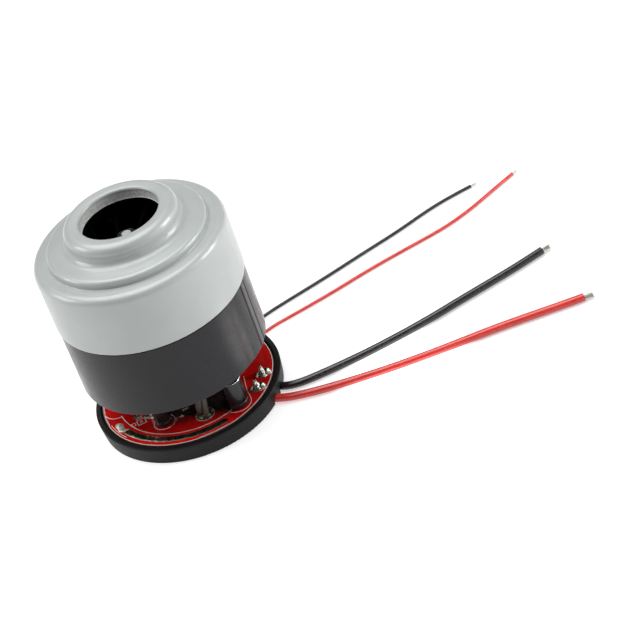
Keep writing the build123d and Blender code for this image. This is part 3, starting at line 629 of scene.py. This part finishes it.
HOUSING = [(33.0, 23.1, 0.4), (34.6, 23.1, 0.6), (34.6, 50.75, 0.15), (34.0, 50.75, 0.0), (34.0, 51.3, 0.0), (34.2, 51.3, 0.0), (34.2, 54.0, 0.0), (33.0, 54.0, 0.0)]
revolve(bm, rounded(HOUSING, 6), 1080, wobble=seam)
put("housing_shell", bm, [M_HOUSING.m], sharp=50, node="motor_housing")

# ------------------------------------------------------------------ nut: blackened, with painted glints: its chamfers take the light finish of the ground shaft end
M_END_AND_GLINT = Mat("ground_shaft_end_and_painted_glint", (0.80, 0.80, 0.79), 0.55, metallic=0.35)
M_END_AND_GLINT.color(M_END_AND_GLINT.ramp(M_END_AND_GLINT.noise(1400, 4, 0.6), [(0.3, (0.56, 0.57, 0.56)), (0.7, (0.36, 0.37, 0.36))]))
M_END_AND_GLINT.rough(M_END_AND_GLINT.span(M_END_AND_GLINT.noise(1800, 3), 0.40, 0.62))
M_END_AND_GLINT.bump(M_END_AND_GLINT.noise(1500, 3, 0.6), 0.00003)
M_NUT = metal("blackened_steel", (0.030, 0.030, 0.032), (0.060, 0.058, 0.056), 0.30, gscale=1500, mottle=420)
me = NODES["impeller_nut"].data
me.materials.clear()
me.materials.append(M_NUT.m)
me.materials.append(M_END_AND_GLINT.m)
for p in me.polygons:
    # chamfer faces get the light finish as painted glints; the rest stays blackened
    p.material_index = 1 if 0.15 < abs(p.normal.z) < 0.95 else 0
me = NODES["motor_shaft"].data
me.materials.append(M_END_AND_GLINT.m)
for p in me.polygons:
    if p.normal.z > 0.9 and p.center.z > 0.070:
        p.material_index = 1

# ------------------------------------------------------------------ board: laminate edge, resist over copper, print
me = NODES["driver_board"].data
me.materials.clear()
me.materials.append(M_MASK.m)
me.materials.append(M_EDGE.m)
for p in me.polygons:
    p.material_index = 0 if abs(p.normal.z) > 0.9 else 1

BZ = 6.6
CU = BZ + 0.035          # top of copper under the resist
rng = random.Random(5)
POSTS = triad(16.0, -30.0)
PHASES = triad(20.5, -85.0)
JOINTS = [(26.38, -11.25, 2.3), (22.55, -17.95, 2.3), (26.51, 15.79, 1.2), (20.98, 20.10, 1.2)]
CAP_A = (14.2, -21.8, 4.0, 11.5)
CAP_B = (-12.6, -15.9, 3.15, 11.0)

bm = bmesh.new()
# wide pours: phase outputs, supply and ground, as the heavy currents need
for az in (-85.0, 35.0, 155.0):
    ribbon(bm, arc(0, 0, 20.5, az - 19, az + 19), 4.6, BZ - 0.01, CU)
ribbon(bm, arc(0, 0, 29.3, -166, -70), 4.2, BZ - 0.01, CU)
ribbon(bm, arc(0, 0, 28.6, 46, 152), 1.6, BZ - 0.01, CU)
ribbon(bm, arc(0, 0, 24.6, -44, 12), 9.6, BZ - 0.01, CU)
ribbon(bm, arc(0, 0, 10.4, 196, 262), 2.6, BZ - 0.01, CU)
# signal traces fanning out of the controller
vias = []
for side in range(4):
    for k in range(8):
        u = (k - 3.5) * 0.8
        c, s_ = [(1, 0), (0, 1), (-1, 0), (0, -1)][side]
        px, py = -5.5 + c * 4.3 - s_ * u, 2.0 + s_ * 4.3 + c * u
        reach = 1.0 + 0.55 * (abs(k - 3.5))
        q = (px + c * reach, py + s_ * reach)
        spread = (1.1 + 0.45 * abs(k - 3.5)) * (1 if k > 3.5 else -1)
        e = (q[0] + c * abs(spread) - s_ * spread, q[1] + s_ * abs(spread) + c * spread)
        far = 1.2 + 1.8 * rng.random()
        g = (e[0] + c * far, e[1] + s_ * far)
        ribbon(bm, [(px - c * 0.4, py - s_ * 0.4), q, e, g], 0.26, BZ - 0.01, CU)
        vias.append(g)
for k in range(6):
    a = 57 + 16.5 * k
    x0, y0 = polar(21.2, a)
    x1, y1 = polar(16.6, a - 4)
    x2, y2 = polar(12.2, a + 5)
    ribbon(bm, [(x0, y0), (x1, y1), (x2, y2)], 0.45, BZ - 0.01, CU)
    vias.append((x2, y2))
for x, y, r in JOINTS[2:]:
    a = math.degrees(math.atan2(y, x))
    ribbon(bm, [(x, y), polar(23.0, a - 5), polar(16.5, a - 12), polar(11.0, a - 10)], 0.6, BZ - 0.01, CU)
ribbon(bm, [(-20.9, -8.0), (-18.6, -5.2), (-14.4, -3.8)], 0.4, BZ - 0.01, CU)
ribbon(bm, [(-16.4, -10.0), (-13.6, -8.4), (-11.0, -7.2)], 0.4, BZ - 0.01, CU)
ribbon(bm, [(-24.6, 2.0), (-21.4, 5.6), (-15.4, 7.8)], 0.5, BZ - 0.01, CU)
ribbon(bm, [(14.6, -10.4), (11.6, -13.0), (7.0, -14.2), (2.4, -15.4)], 0.7, BZ - 0.01, CU)
put("board_copper", bm, [M_TRACE.m], sharp=30)

# printed outlines: lines only
bm = bmesh.new()
PZ0, PZ1 = BZ + 0.02, BZ + 0.062


def line(pts, w=0.24, closed=False):
    ribbon(bm, pts, w, PZ0, PZ1, closed=closed)


def ring(cx0, cy0, r, w=0.24):
    line(arc(cx0, cy0, r, 0, 355, 5), w, True)


ring(0, 0, 32.30, 0.24)
line(arc(0, 0, 32.12, -96, -75, 2), 0.60)
line(arc(0, 0, 32.12, 168, 190, 2), 0.52)
line(arc(0, 0, 31.5, -169, -150, 2), 0.20)
line(arc(0, 0, 26.5, -174, -65, 2), 0.30)
line(arc(0, 0, 26.5, 58, 142, 2), 0.24)
line(arc(14.1, -21.75, 5.0, 218, 362, 4), 0.26)
line([(19.8, -8.6), (19.2, -13.5), (18.9, -18.2), (19.08, -21.6)], 0.26)
for x, y in PHASES:
    ring(x, y, 3.5, 0.28)
ring(-12.6, -15.9, 4.0, 0.28)
line([(-8.7, -16.3), (-6.9, -16.6)], 0.26)
line(arc(-27.0, 1.5, 4.85, 161, 278, 4), 0.26)
for x, y in POSTS:
    ring(x, y, 3.4, 0.22)


def footprint(x, y, w, d, turn, lw=0.2):
    c, s_ = math.cos(math.radians(turn)), math.sin(math.radians(turn))
    line([(x + a * w / 2 * c - b * d / 2 * s_, y + a * w / 2 * s_ + b * d / 2 * c) for a, b in ((-1, -1), (1, -1), (1, 1), (-1, 1))], lw, True)


footprint(-20.3, -10.45, 3.1, 2.9, 5, 0.30)
footprint(-23.3, -10.6, 1.2, 1.7, 5, 0.20)
footprint(-5.5, 2.0, 10.6, 10.6, 0)
footprint(6.5, 4.5, 8.0, 8.0, 20)
footprint(8.0, -5.0, 8.2, 4.4, -30)
for k in range(6):
    x, y = polar(24.5, 57 + 16.5 * k)
    footprint(x, y, 7.4, 6.0, 57 + 16.5 * k)
put("board_print", bm, [M_PRINT.m], sharp=30)

# bare pads, vias and the ring round each screw, all tinned
bm = bmesh.new()
for x, y in vias + [polar(r, a) for r, a in ((12.4, 196), (14.0, 186), (9.6, 120), (10.8, 96), (7.4, -74), (4.4, -60))]:
    revolve(bm, [(0.16, BZ + 0.03), (0.42, BZ + 0.03), (0.38, BZ + 0.065), (0.20, BZ + 0.065)], 14, (x, y))
for x, y in POSTS:
    revolve(bm, rounded([(1.5, BZ + 0.01), (2.95, BZ + 0.01), (2.95, BZ + 0.06, 0.03), (1.5, BZ + 0.06)], 2, 0), 40, (x, y))
for pts_, w_ in (([(-21.9, -7.7), (-19.5, -7.6)], 1.15), ([(-18.8, -8.7), (-15.4, -11.3)], 1.25), ([(-20.9, -10.4), (-19.8, -10.3)], 0.9)):
    ribbon(bm, pts_, w_, BZ + 0.01, BZ + 0.075)
M_PAD = Mat("tinned_pads", (0.74, 0.73, 0.65), 0.36, metallic=0.35)
M_PAD.color(M_PAD.ramp(M_PAD.noise(900, 4, 0.6), [(0.3, (0.84, 0.83, 0.74)), (0.7, (0.60, 0.60, 0.54))]))
M_PAD.rough(M_PAD.span(M_PAD.noise(1500, 3), 0.28, 0.46))
M_PAD.bump(M_PAD.noise(1100, 3, 0.6), 0.00003)
put("board_pads", bm, [M_PAD.m], sharp=40)


# ------------------------------------------------------------------ solder
def mound(bm, x, y, base, neck, height, seed, stretch=(1.0, 1.0), turn=0.0, lean=(0.0, 0.0), z=BZ, segs=48, close=True,
          power=2.1, rise=1.25):
    """Wetted solder: a concave skirt up to a neck, a little uneven."""
    prof = [(base * 1.02, -0.01), (base, 0.05)]
    n = 14
    for i in range(1, n + 1):
        t = i / n
        prof.append((neck + (base - neck) * (1 - t) ** power, 0.05 + (height - 0.05) * t ** rise))
    prof += [(neck * 0.75, height + 0.10), (neck * 0.3, height + 0.14), (0.0, height + 0.15)] if close else [(neck * 0.6, height + 0.05), (neck * 0.5, height)]
    prof = [(0.0, -0.01)] + prof
    off = Vector((seed * 7.3, seed * 3.1, seed))
    made = revolve(bm, prof, segs, (0, 0), 0.0, closed=False)
    ct, st = math.cos(math.radians(turn)), math.sin(math.radians(turn))
    for ringv in made:
        for v in ringv:
            q = v.co / MM
            f = max(0.0, 1 - q.z / height)
            k = 1.0 + 0.10 * noise.noise(Vector((q.x, q.y, q.z)) * 0.75 + off) * min(1.0, q.z * 4 + 0.3)
            qx, qy = q.x * k * (1 + (stretch[0] - 1) * f), q.y * k * (1 + (stretch[1] - 1) * f)
            qz = q.z * (1 + 0.10 * noise.noise(Vector((q.x, q.y, 0)) * 0.6 + off)) if q.z > 0.1 else q.z
            qx, qy = qx * ct - qy * st + lean[0] * (q.z / height), qx * st + qy * ct + lean[1] * (q.z / height)
            v.co = Vector((x + qx, y + qy, z + qz)) * MM


def bend(pts, n=6):
    """Smooth line through points in millimetres."""
    p = [Vector(a) for a in pts]
    out = []
    for i in range(len(p) - 1):
        a, b, c, d = p[max(i - 1, 0)], p[i], p[i + 1], p[min(i + 2, len(p) - 1)]
        for j in range(n):
            t = j / n
            out.append(0.5 * ((2 * b) + (c - a) * t + (2 * a - 5 * b + 4 * c - d) * t * t + (3 * b - a - 3 * c + d) * t ** 3))
    out.append(p[-1])
    return out


M_FLUX = metal("solder_with_flux", (0.40, 0.39, 0.32), (0.76, 0.77, 0.72), 0.22, grain=0.00012, gscale=500, mottle=420)


def lead_joint(name, pts, z, r_core, x, y, top, base, seed, node, stretch, turn):
    bm = bmesh.new()
    ax = Vector((pts[0][0] - pts[1][0], pts[0][1] - pts[1][1], 0)).normalized()
    s = Vector((pts[0][0], pts[0][1], z))
    mid = Vector((x, y, 0))
    side = Vector((-ax.y, ax.x, 0))
    count = 7 if r_core > 0.6 else 3
    for k in range(count):
        ang = 2 * math.pi * k / max(1, count - 1) if k else 0
        rr = (r_core * 0.42 if k else 0.0) if count == 7 else r_core * 0.42
        if count == 3:
            ang = 2 * math.pi * k / 3
        path = []
        for (p, ux, uy) in ((s - ax * 1.0, side, Vector((0, 0, 1))), (s + ax * 0.4, side, Vector((0, 0, 1))),
                            (Vector((x, y, z)) + Vector((0, 0, 0.6)), side, -ax), (Vector((x, y, 4.6)), side, -ax),
                            (Vector((x, y, BZ + 1.0)), side, -ax), (Vector((x, y, BZ + top * 0.6)), side, -ax),
                            (Vector((x, y, BZ + top * (0.93 + 0.07 * math.sin(seed + 2.3 * k)))), side, -ax)):
            path.append(p + ux * (rr * math.cos(ang)) + uy * (rr * math.sin(ang)))
        for q in path:
            q.z = max(q.z, 0.25)
        line_ = bend(path, 5)
        sweep(bm, line_, r_core * 0.30 if count == 7 else r_core * 0.5, 8)
    # solder wicked up the strands, then the mound, and the lump where the iron left it
    neck = r_core * 0.70
    mound(bm, x, y, base, neck, top * 0.84, seed, stretch, turn, power=1.55, rise=0.95)
    if r_core > 0.6:
        bx, by = x + 1.75 * math.cos(math.radians(turn)), y + 1.75 * math.sin(math.radians(turn))
        mound(bm, bx, by, base * 0.74, 0.80, top * 0.46, seed + 3, (1.05, 0.95), turn, power=1.1, rise=0.65)
    return put(name, bm, [M_FLUX.m], sharp=50, node=node)


lead_joint("power_black_solder", POWER_BLACK, 1.55, 0.9, 26.38, -11.25, 4.0, 2.25, 1, "power_lead_black_joint", (1.15, 0.92), -8)
lead_joint("power_red_solder", POWER_RED, 1.55, 0.9, 22.55, -17.95, 4.0, 2.25, 2, "power_lead_red_joint", (1.15, 0.92), -12)
lead_joint("signal_red_solder", SIGNAL_RED, 0.70, 0.4, 26.51, 15.79, 1.7, 1.15, 3, "signal_lead_red_joint", (1.1, 0.95), 20)
lead_joint("signal_black_solder", SIGNAL_BLACK, 0.70, 0.4, 20.98, 20.10, 1.7, 1.15, 4, "signal_lead_black_joint", (1.1, 0.95), 60)

# supply track: a wide tinned band, uneven as hand-flooded solder is
bm = bmesh.new()
rows = []
A0, A1, STEPS, ACROSS = -157.0, -73.0, 160, 12
for i in range(STEPS + 1):
    a = A0 + (A1 - A0) * i / STEPS
    e = min(1.0, min(i, STEPS - i) / 5.0)
    row = []
    for k in range(ACROSS + 1):
        u = -1 + 2 * k / ACROSS
        x0 = 29.2 * math.radians(a)
        wv = noise.noise(Vector((x0 * 0.75, u * 1.1, 3.0)))
        half = 1.5 * (0.90 + 0.10 * noise.noise(Vector((x0 * 0.9, 8.0 * math.copysign(1, u), 1.0)))) * math.sqrt(max(0.02, e * (2 - e)))
        h = (0.04 + 0.30 * (1 - u * u) ** 0.5 * (1 + 0.75 * wv)) * e if abs(u) < 1 else 0.0
        px, py = polar(29.2 + u * half, a)
        row.append(bm.verts.new((px * MM, py * MM, (BZ + 0.03 + h) * MM)))
    rows.append(row)
for a, b in zip(rows, rows[1:]):
    for k in range(ACROSS):
        bm.faces.new((a[k], a[k + 1], b[k + 1], b[k]))
mound(bm, -28.25, -8.1, 1.55, 0.75, 0.62, 9, (1.25, 0.92), 110, power=1.3)
mound(bm, -28.0, -10.3, 1.45, 0.75, 0.85, 10, (1.30, 0.88), 115, power=1.3)
put("supply_band", bm, [M_BAND.m, M_PAD.m], sharp=60, node="supply_track")
me = bpy.data.objects["supply_band"].data
for p in me.polygons:
    if p.center.x < -0.0255 and p.center.y > -0.0125:
        p.material_index = 1

# phase leads: three sleeved wires side by side, drawn together where they enter the motor, standing in their solder
bm = bmesh.new()
for n_, (x, y) in enumerate(PHASES):
    for k in range(3):
        ph = 2 * math.pi * k / 3 + n_ * 2.1 + 0.5
        pts, radii = [], []
        for i in range(40):
            z = 4.6 + (30.3 - 4.6) * i / 39
            th = ph + 0.20 * (z - 6.0)
            lo_, hi_ = min(1.0, max(0.0, (z - 6.4) / 1.6)), min(1.0, max(0.0, (z - 17.0) / 6.0))
            lo_, hi_ = lo_ * lo_ * (3 - 2 * lo_), hi_ * hi_ * (3 - 2 * hi_)
            open_ = lo_ * (1 - hi_)
            knob = noise.noise(Vector((z * 0.42, k * 3.7 + n_ * 1.9, 2.0)))
            rr = 0.66 + 0.66 * open_ + 0.10 * open_ * knob
            pts.append((x + rr * math.cos(th), y + rr * math.sin(th), z))
            radii.append(0.62 + 0.56 * open_ + 0.16 * open_ * knob)
        sweep(bm, pts, radii, 14)
put("phase_wires", bm, [M_PHASE.m], sharp=50, node="phase_leads")
bm = bmesh.new()
for n_, (x, y) in enumerate(PHASES):
    mound(bm, x, y, 3.25, 2.35, 1.5, 20 + n_, (1.0, 0.98), 30 * n_, close=False)
    h_ = math.radians(-66 + 120 * n_)
    mound(bm, x + 2.15 * math.cos(h_), y + 2.15 * math.sin(h_), 1.25, 0.55, 1.9, 27 + n_, (1.0, 1.0), 0, power=1.2, rise=0.7)
put("phase_solder", bm, [M_BAND.m], sharp=50, node="phase_solder_joints")

# test point beside the small capacitor
bm = bmesh.new()
mound(bm, -6.1, -16.6, 0.75, 0.28, 0.75, 31, segs=28)
mound(bm, 6.4, -11.2, 0.75, 0.28, 0.75, 32, segs=28)
put("test_point_solder", bm, [M_SOLDER.m], sharp=50)


# ------------------------------------------------------------------ capacitors: sleeve over can, crimp groove, scored vent
def capacitor(name, x, y, r, h, az, pitch, node, stripe_az):
    z0 = BZ + 0.3
    bm = bmesh.new()
    segs = 96
    prof = rounded([(0.0, z0 + 0.25), (r - 0.62, z0 + 0.25), (r - 0.55, z0, 0.1), (r - 0.12, z0 + 0.02, 0.1), (r, z0 + 0.35, 0.25),
                    (r, z0 + 1.15, 0.3), (r - 0.30, z0 + 1.75, 0.45), (r, z0 + 2.35, 0.3),
                    (r, z0 + h, 0.45), (r - 0.62, z0 + h, 0.12), (r - 0.70, z0 + h - 0.16)], 5, 0.1)
    half = math.radians(22)

    def pick(i, s):
        a = 2 * math.pi * (s + 0.5) / segs
        d = abs((a - math.radians(stripe_az) + math.pi) % (2 * math.pi) - math.pi)
        z = prof[i][1]
        if z < z0 + 0.27 and prof[i][0] < r - 0.5:
            return 2
        if z > z0 + h - 0.33:
            return 3
        return 1 if d < half and z > z0 + 0.4 and prof[i][0] > r - 0.55 else 0

    revolve(bm, prof, segs, (x, y), closed=False, mat_of=pick)
    zt = z0 + h - 0.18
    revolve(bm, rounded([(r - 0.66, zt - 0.12), (r - 0.78, zt, 0.08), (0.0, zt + 0.02)], 3, 0), segs, (x, y), closed=False, mat=3)
    for a in (35, 155, 275):
        p = [(x + q * math.cos(math.radians(a)), y + q * math.sin(math.radians(a))) for q in (0.15, r * 0.42, r * 0.68)]
        ribbon(bm, p, 0.16, zt - 0.05, zt + 0.035, mat=2)
    for s in (-1, 1):
        dx, dy = pitch * s * math.cos(math.radians(az)), pitch * s * math.sin(math.radians(az))
        sweep(bm, bend([(x + dx, y + dy, z0 + 0.4), (x + dx, y + dy, BZ), (x + dx, y + dy, 5.0), (x + dx, y + dy, 4.15)], 3), 0.28, 10, mat=4)
    return put(name, bm, [M_SLEEVE.m, M_STRIPE.m, M_RUBBER.m, M_CAN.m, M_TIN_CU.m], sharp=38, node=node)


capacitor("large_capacitor", *CAP_A, 57.0, 1.75, "capacitor_large", 120)
capacitor("small_capacitor", *CAP_B, 38.0, 1.25, "capacitor_small", 70)


# ------------------------------------------------------------------ parts on the board
def local(x, y, turn, u, v):
    c, s_ = math.cos(math.radians(turn)), math.sin(math.radians(turn))
    return x + u * c - v * s_, y + u * s_ + v * c


def gull(bm, x, y, turn, u, v, side, w, h, reach, mat):
    """One formed pin; side is the outward direction (du, dv)."""
    t = 0.13
    prof = [(0.0, h), (0.18 * reach, h), (0.42 * reach, h * 0.55), (0.52 * reach, t * 0.9), (reach, t * 0.9)]
    px, py = -side[1], side[0]
    rings = []
    for i, (d, z) in enumerate(prof):
        a = prof[max(i - 1, 0)]
        b = prof[min(i + 1, len(prof) - 1)]
        tx, tz = b[0] - a[0], b[1] - a[1]
        ln = math.hypot(tx, tz)
        nx, nz = -tz / ln * t / 2, tx / ln * t / 2
        ringv = []
        for (dd, zz, ww) in ((d + nx, z + nz, w / 2), (d - nx, z - nz, w / 2), (d - nx, z - nz, -w / 2), (d + nx, z + nz, -w / 2)):
            X, Y = local(x, y, turn, u + side[0] * dd + px * ww, v + side[1] * dd + py * ww)
            ringv.append(bm.verts.new((X * MM, Y * MM, (BZ + 0.04 + max(0.0, zz)) * MM)))
        rings.append(ringv)
    for a, b in zip(rings, rings[1:]):
        for k in range(4):
            bm.faces.new((a[k], a[(k + 1) % 4], b[(k + 1) % 4], b[k])).material_index = mat
    for r_ in (rings[0][::-1], rings[-1]):
        bm.faces.new(r_).material_index = mat


def pad(bm, x, y, turn, u, v, w, d, mat, h=0.07):
    X, Y = local(x, y, turn, u, v)
    brick(bm, (w, d, h), (X, Y, BZ + 0.02), turn, bevel=0.03, segs=1, mat=mat, taper=0.06)


def dot(bm, x, y, turn, u, v, z, r, mat):
    X, Y = local(x, y, turn, u, v)
    revolve(bm, [(0.0, z + 0.012), (r * 0.8, z + 0.012), (r, z - 0.01)], 20, (X, Y), closed=False, mat=mat)


# controller: flat package with pins on four sides
bm = bmesh.new()
brick(bm, (7.0, 7.0, 0.62), (-5.5, 2.0, BZ + 0.16), 0, 0.05, 2, 0, taper=0.0)
brick(bm, (6.98, 6.98, 0.62), (-5.5, 2.0, BZ + 0.82), 0, 0.10, 3, 0, taper=0.035)
for side in ((1, 0), (0, 1), (-1, 0), (0, -1)):
    for k in range(8):
        o_ = (k - 3.5) * 0.8
        u, v = side[0] * 3.45 - side[1] * o_, side[1] * 3.45 + side[0] * o_
        gull(bm, -5.5, 2.0, 0, u, v, side, 0.36, 0.70, 0.95, 1)
        pad(bm, -5.5, 2.0, 0, side[0] * 4.25 - side[1] * o_, side[1] * 4.25 + side[0] * o_, 0.5 if side[1] == 0 else 0.42, 0.42 if side[1] == 0 else 0.5, 2, 0.05)
dot(bm, -5.5, 2.0, 0, -2.6, 2.6, BZ + 1.44, 0.42, 3)
put("controller_package", bm, [M_CHIP.m, M_TIN_CU.m, M_SOLDER.m, M_BLACK.m], sharp=30, node="controller_chip")

bm = bmesh.new()
brick(bm, (6.5, 4.4, 0.45), (6.5, 4.5, BZ + 0.14), 20, 0.04, 2, 0)
brick(bm, (6.48, 4.38, 0.48), (6.5, 4.5, BZ + 0.60), 20, 0.08, 3, 0, taper=0.04)
for sgn in (1, -1):
    for k in range(10):
        u = (k - 4.5) * 0.62
        gull(bm, 6.5, 4.5, 20, u, sgn * 2.16, (0, sgn), 0.26, 0.50, 0.92, 1)
        pad(bm, 6.5, 4.5, 20, u, sgn * 2.85, 0.34, 0.8, 2, 0.05)
dot(bm, 6.5, 4.5, 20, -2.6, -1.5, BZ + 1.08, 0.32, 3)
put("gate_driver_package", bm, [M_CHIP.m, M_TIN_CU.m, M_SOLDER.m, M_BLACK.m], sharp=30, node="gate_driver_chip")

# shunt: strip resistor with wrapped ends
bm = bmesh.new()
brick(bm, (4.3, 3.0, 0.62), (8.0, -5.0, BZ + 0.12), -30, 0.08, 2, 0)
for sgn in (1, -1):
    X, Y = local(8.0, -5.0, -30, sgn * 2.6, 0)
    brick(bm, (1.15, 3.1, 0.76), (X, Y, BZ + 0.03), -30, 0.10, 3, 1)
    X, Y = local(8.0, -5.0, -30, sgn * 3.3, 0)
    brick(bm, (0.7, 3.2, 0.30), (X, Y, BZ + 0.02), -30, 0.12, 3, 2, taper=0.35)
put("shunt_resistor", bm, [M_CHIP.m, M_TIN_CU.m, M_SOLDER.m], sharp=40, node="current_shunt")

# power transistors: flat packages with side terminals and a wide drain
bm = bmesh.new()
for k in range(6):
    a = 57 + 16.5 * k
    x, y = polar(24.5, a)
    brick(bm, (5.3, 4.9, 0.32), (x, y, BZ + 0.10), a, 0.04, 2, 0)
    brick(bm, (5.28, 4.88, 0.58), (x, y, BZ + 0.42), a, 0.10, 3, 0, taper=0.05)
    for j in range(4):
        v = (j - 1.5) * 1.27
        for sgn, ln in ((-1, 0.75), (1, 0.5)):
            X, Y = local(x, y, a, sgn * 2.80, v)
            brick(bm, (ln, 0.62, 0.26), (X, Y, BZ + 0.05), a, 0.05, 2, 1)
            pad(bm, x, y, a, sgn * 3.05, v, 0.75, 0.80, 2, 0.14)
    dot(bm, x, y, a, -1.9, 1.7, BZ + 1.00, 0.34, 3)
put("transistor_packages", bm, [M_CHIP.m, M_TIN_CU.m, M_SOLDER.m, M_BLACK.m], sharp=30, node="power_transistors")

# small chips: tan ceramic capacitors, black-topped resistors, all with tinned end caps and solder fillets
CHIPS = [(-21.6, -6.2, 2.0, 1.25, 0.55, 66), (-17.4, -9.3, 2.0, 1.25, 0.55, -34), (-3.9, -13.3, 1.6, 0.8, 0.45, 10),
         (-9.5, -7.2, 1.6, 0.8, 0.45, 0), (-6.6, -7.2, 1.6, 0.8, 0.45, 0), (-3.7, -7.2, 1.6, 0.8, 0.45, 0),
         (0.8, -3.4, 1.6, 0.8, 0.45, 90), (0.8, 0.0, 1.6, 0.8, 0.45, 90), (-12.6, 1.0, 1.6, 0.8, 0.45, 90),
         (-12.6, 4.0, 1.6, 0.8, 0.45, 90), (-5.0, 9.8, 2.0, 1.25, 0.8, 0), (5.4, 10.2, 2.0, 1.25, 0.8, 20),
         (13.6, 3.4, 3.2, 1.6, 1.0, 80), (-20.6, 1.6, 3.2, 1.6, 1.0, 95), (20.8, 4.8, 3.2, 1.6, 1.0, 70),
         (10.0, 14.6, 2.0, 1.25, 0.55, 30), (-9.6, 14.4, 2.0, 1.25, 0.55, -30)]
bm = bmesh.new()
for x, y, w, d, h, t in CHIPS:
    cap_ = 0.22 * w
    if h >= 0.75:
        brick(bm, (w - 2 * cap_ + 0.06, d - 0.04, h - 0.06), (x, y, BZ + 0.07), t, 0.07, 3, 0)
    else:
        brick(bm, (w - 2 * cap_ + 0.06, d - 0.04, h - 0.12), (x, y, BZ + 0.06), t, 0.03, 2, 1)
        brick(bm, (w - 2 * cap_ + 0.02, d - 0.16, 0.06), (x, y, BZ + h - 0.075), t, 0.03, 2, 2)
    for sgn in (1, -1):
        X, Y = local(x, y, t, sgn * (w / 2 - cap_ / 2), 0)
        brick(bm, (cap_, d, h - 0.02), (X, Y, BZ + 0.04), t, 0.06, 3, 3)
        X, Y = local(x, y, t, sgn * (w / 2 + 0.20), 0)
        brick(bm, (0.62, d * 1.08, h * 0.55), (X, Y, BZ + 0.02), t, 0.10, 3, 4, taper=0.42)
put("chip_bodies", bm, [M_CERAMIC.m, M_ALUMINA.m, M_CHIP.m, M_TIN_CU.m, M_SOLDER.m], sharp=40, node="chip_components")

# ------------------------------------------------------------------ floor and light
bm = bmesh.new()
bmesh.ops.create_grid(bm, x_segments=8, y_segments=8, size=3.0)
me = bpy.data.meshes.new("floor")
bm.to_mesh(me)
bm.free()
floor = bpy.data.objects.new("floor", me)
floor.location.z = -0.00002
M_FLOOR = plastic("floor_white", (0.64, 0.64, 0.64), (0.66, 0.66, 0.66), 0.8, mottle=3, gscale=60, spec=0.2)
glow = M_FLOOR.m.node_tree.nodes["Principled BSDF"] if "Principled BSDF" in M_FLOOR.m.node_tree.nodes else next(n for n in M_FLOOR.m.node_tree.nodes if n.type == "BSDF_PRINCIPLED")
glow.inputs["Emission Color"].default_value = (1, 1, 1, 1)
fnt = M_FLOOR.m.node_tree
# The floor glows though it is no lamp: evenly, and much brighter in a patch right of the motor, painted light that the
# housing shows as its highlight
f_tc, f_far, f_patch_glow = fnt.nodes.new("ShaderNodeTexCoord"), fnt.nodes.new("ShaderNodeVectorMath"), fnt.nodes.new("ShaderNodeMapRange")
f_far.operation = "DISTANCE"
f_far.inputs[1].default_value = (0.074, -0.034, 0.0)
f_patch_glow.interpolation_type = "SMOOTHSTEP"
for k, v in (("From Min", 0.010), ("From Max", 0.030), ("To Min", 2.1), ("To Max", 0.36)):
    f_patch_glow.inputs[k].default_value = v
fnt.links.new(f_tc.outputs["Object"], f_far.inputs[0])
fnt.links.new(f_far.outputs["Value"], f_patch_glow.inputs["Value"])
# a little more glow in a ring round the tray: painted light that clears the tray's contact shadow
f_near, f_ring_glow, f_sum = fnt.nodes.new("ShaderNodeVectorMath"), fnt.nodes.new("ShaderNodeMapRange"), fnt.nodes.new("ShaderNodeMath")
f_near.operation = "LENGTH"
f_ring_glow.interpolation_type = "SMOOTHSTEP"
for k, v in (("From Min", 0.040), ("From Max", 0.078), ("To Min", 0.15), ("To Max", 0.0)):
    f_ring_glow.inputs[k].default_value = v
fnt.links.new(f_tc.outputs["Object"], f_near.inputs[0])
fnt.links.new(f_near.outputs["Value"], f_ring_glow.inputs["Value"])
f_sum.operation = "ADD"
fnt.links.new(f_patch_glow.outputs["Result"], f_sum.inputs[0])
fnt.links.new(f_ring_glow.outputs["Result"], f_sum.inputs[1])
fnt.links.new(f_sum.outputs["Value"], glow.inputs["Emission Strength"])
me.materials.append(M_FLOOR.m)
scene.collection.objects.link(floor)

world = bpy.data.worlds.new("studio")
scene.world = world
world.use_nodes = True
wn = world.node_tree
wn.nodes.clear()
w_out = wn.nodes.new("ShaderNodeOutputWorld")
w_mix = wn.nodes.new("ShaderNodeMixShader")
w_path = wn.nodes.new("ShaderNodeLightPath")
w_fill = wn.nodes.new("ShaderNodeBackground")
w_seen = wn.nodes.new("ShaderNodeBackground")
w_fill.inputs[0].default_value, w_fill.inputs[1].default_value = (1, 1, 1, 1), 0.045
w_seen.inputs[0].default_value, w_seen.inputs[1].default_value = (1, 1, 1, 1), 1.0
wn.links.new(w_path.outputs["Is Camera Ray"], w_mix.inputs[0])
wn.links.new(w_fill.outputs[0], w_mix.inputs[1])
wn.links.new(w_seen.outputs[0], w_mix.inputs[2])
wn.links.new(w_mix.outputs[0], w_out.inputs[0])


def softbox(name, at, target, w, h, power):
    d = bpy.data.lights.new(name, "AREA")
    d.shape = "RECTANGLE"
    d.size, d.size_y = w, h
    d.energy = power
    o = bpy.data.objects.new(name, d)
    scene.collection.objects.link(o)
    o.location = at
    o.rotation_mode = "QUATERNION"
    o.rotation_quaternion = (Vector(target) - Vector(at)).to_track_quat("-Z", "Y")
    return o


sky = bpy.data.lights.new("overhead", "SUN")
sky.energy = 3.15
sky.angle = math.radians(62)
sky_o = bpy.data.objects.new("overhead", sky)
scene.collection.objects.link(sky_o)
sky_o.rotation_mode = "QUATERNION"
sky_o.rotation_quaternion = (-Vector((-0.12, 0.20, 1.0))).to_track_quat("-Z", "Y")
softbox("right", (1.18, -0.20, 0.42), (0, 0, 0.05), 0.5, 0.6, 9.8)
softbox("left", (-1.15, 0.28, 0.62), (0, 0, 0.05), 0.6, 0.6, 6.0)

softbox("front_strip", (0.70, -0.98, 0.50), (0.03, 0, 0.03), 1.3, 0.05, 1.9)
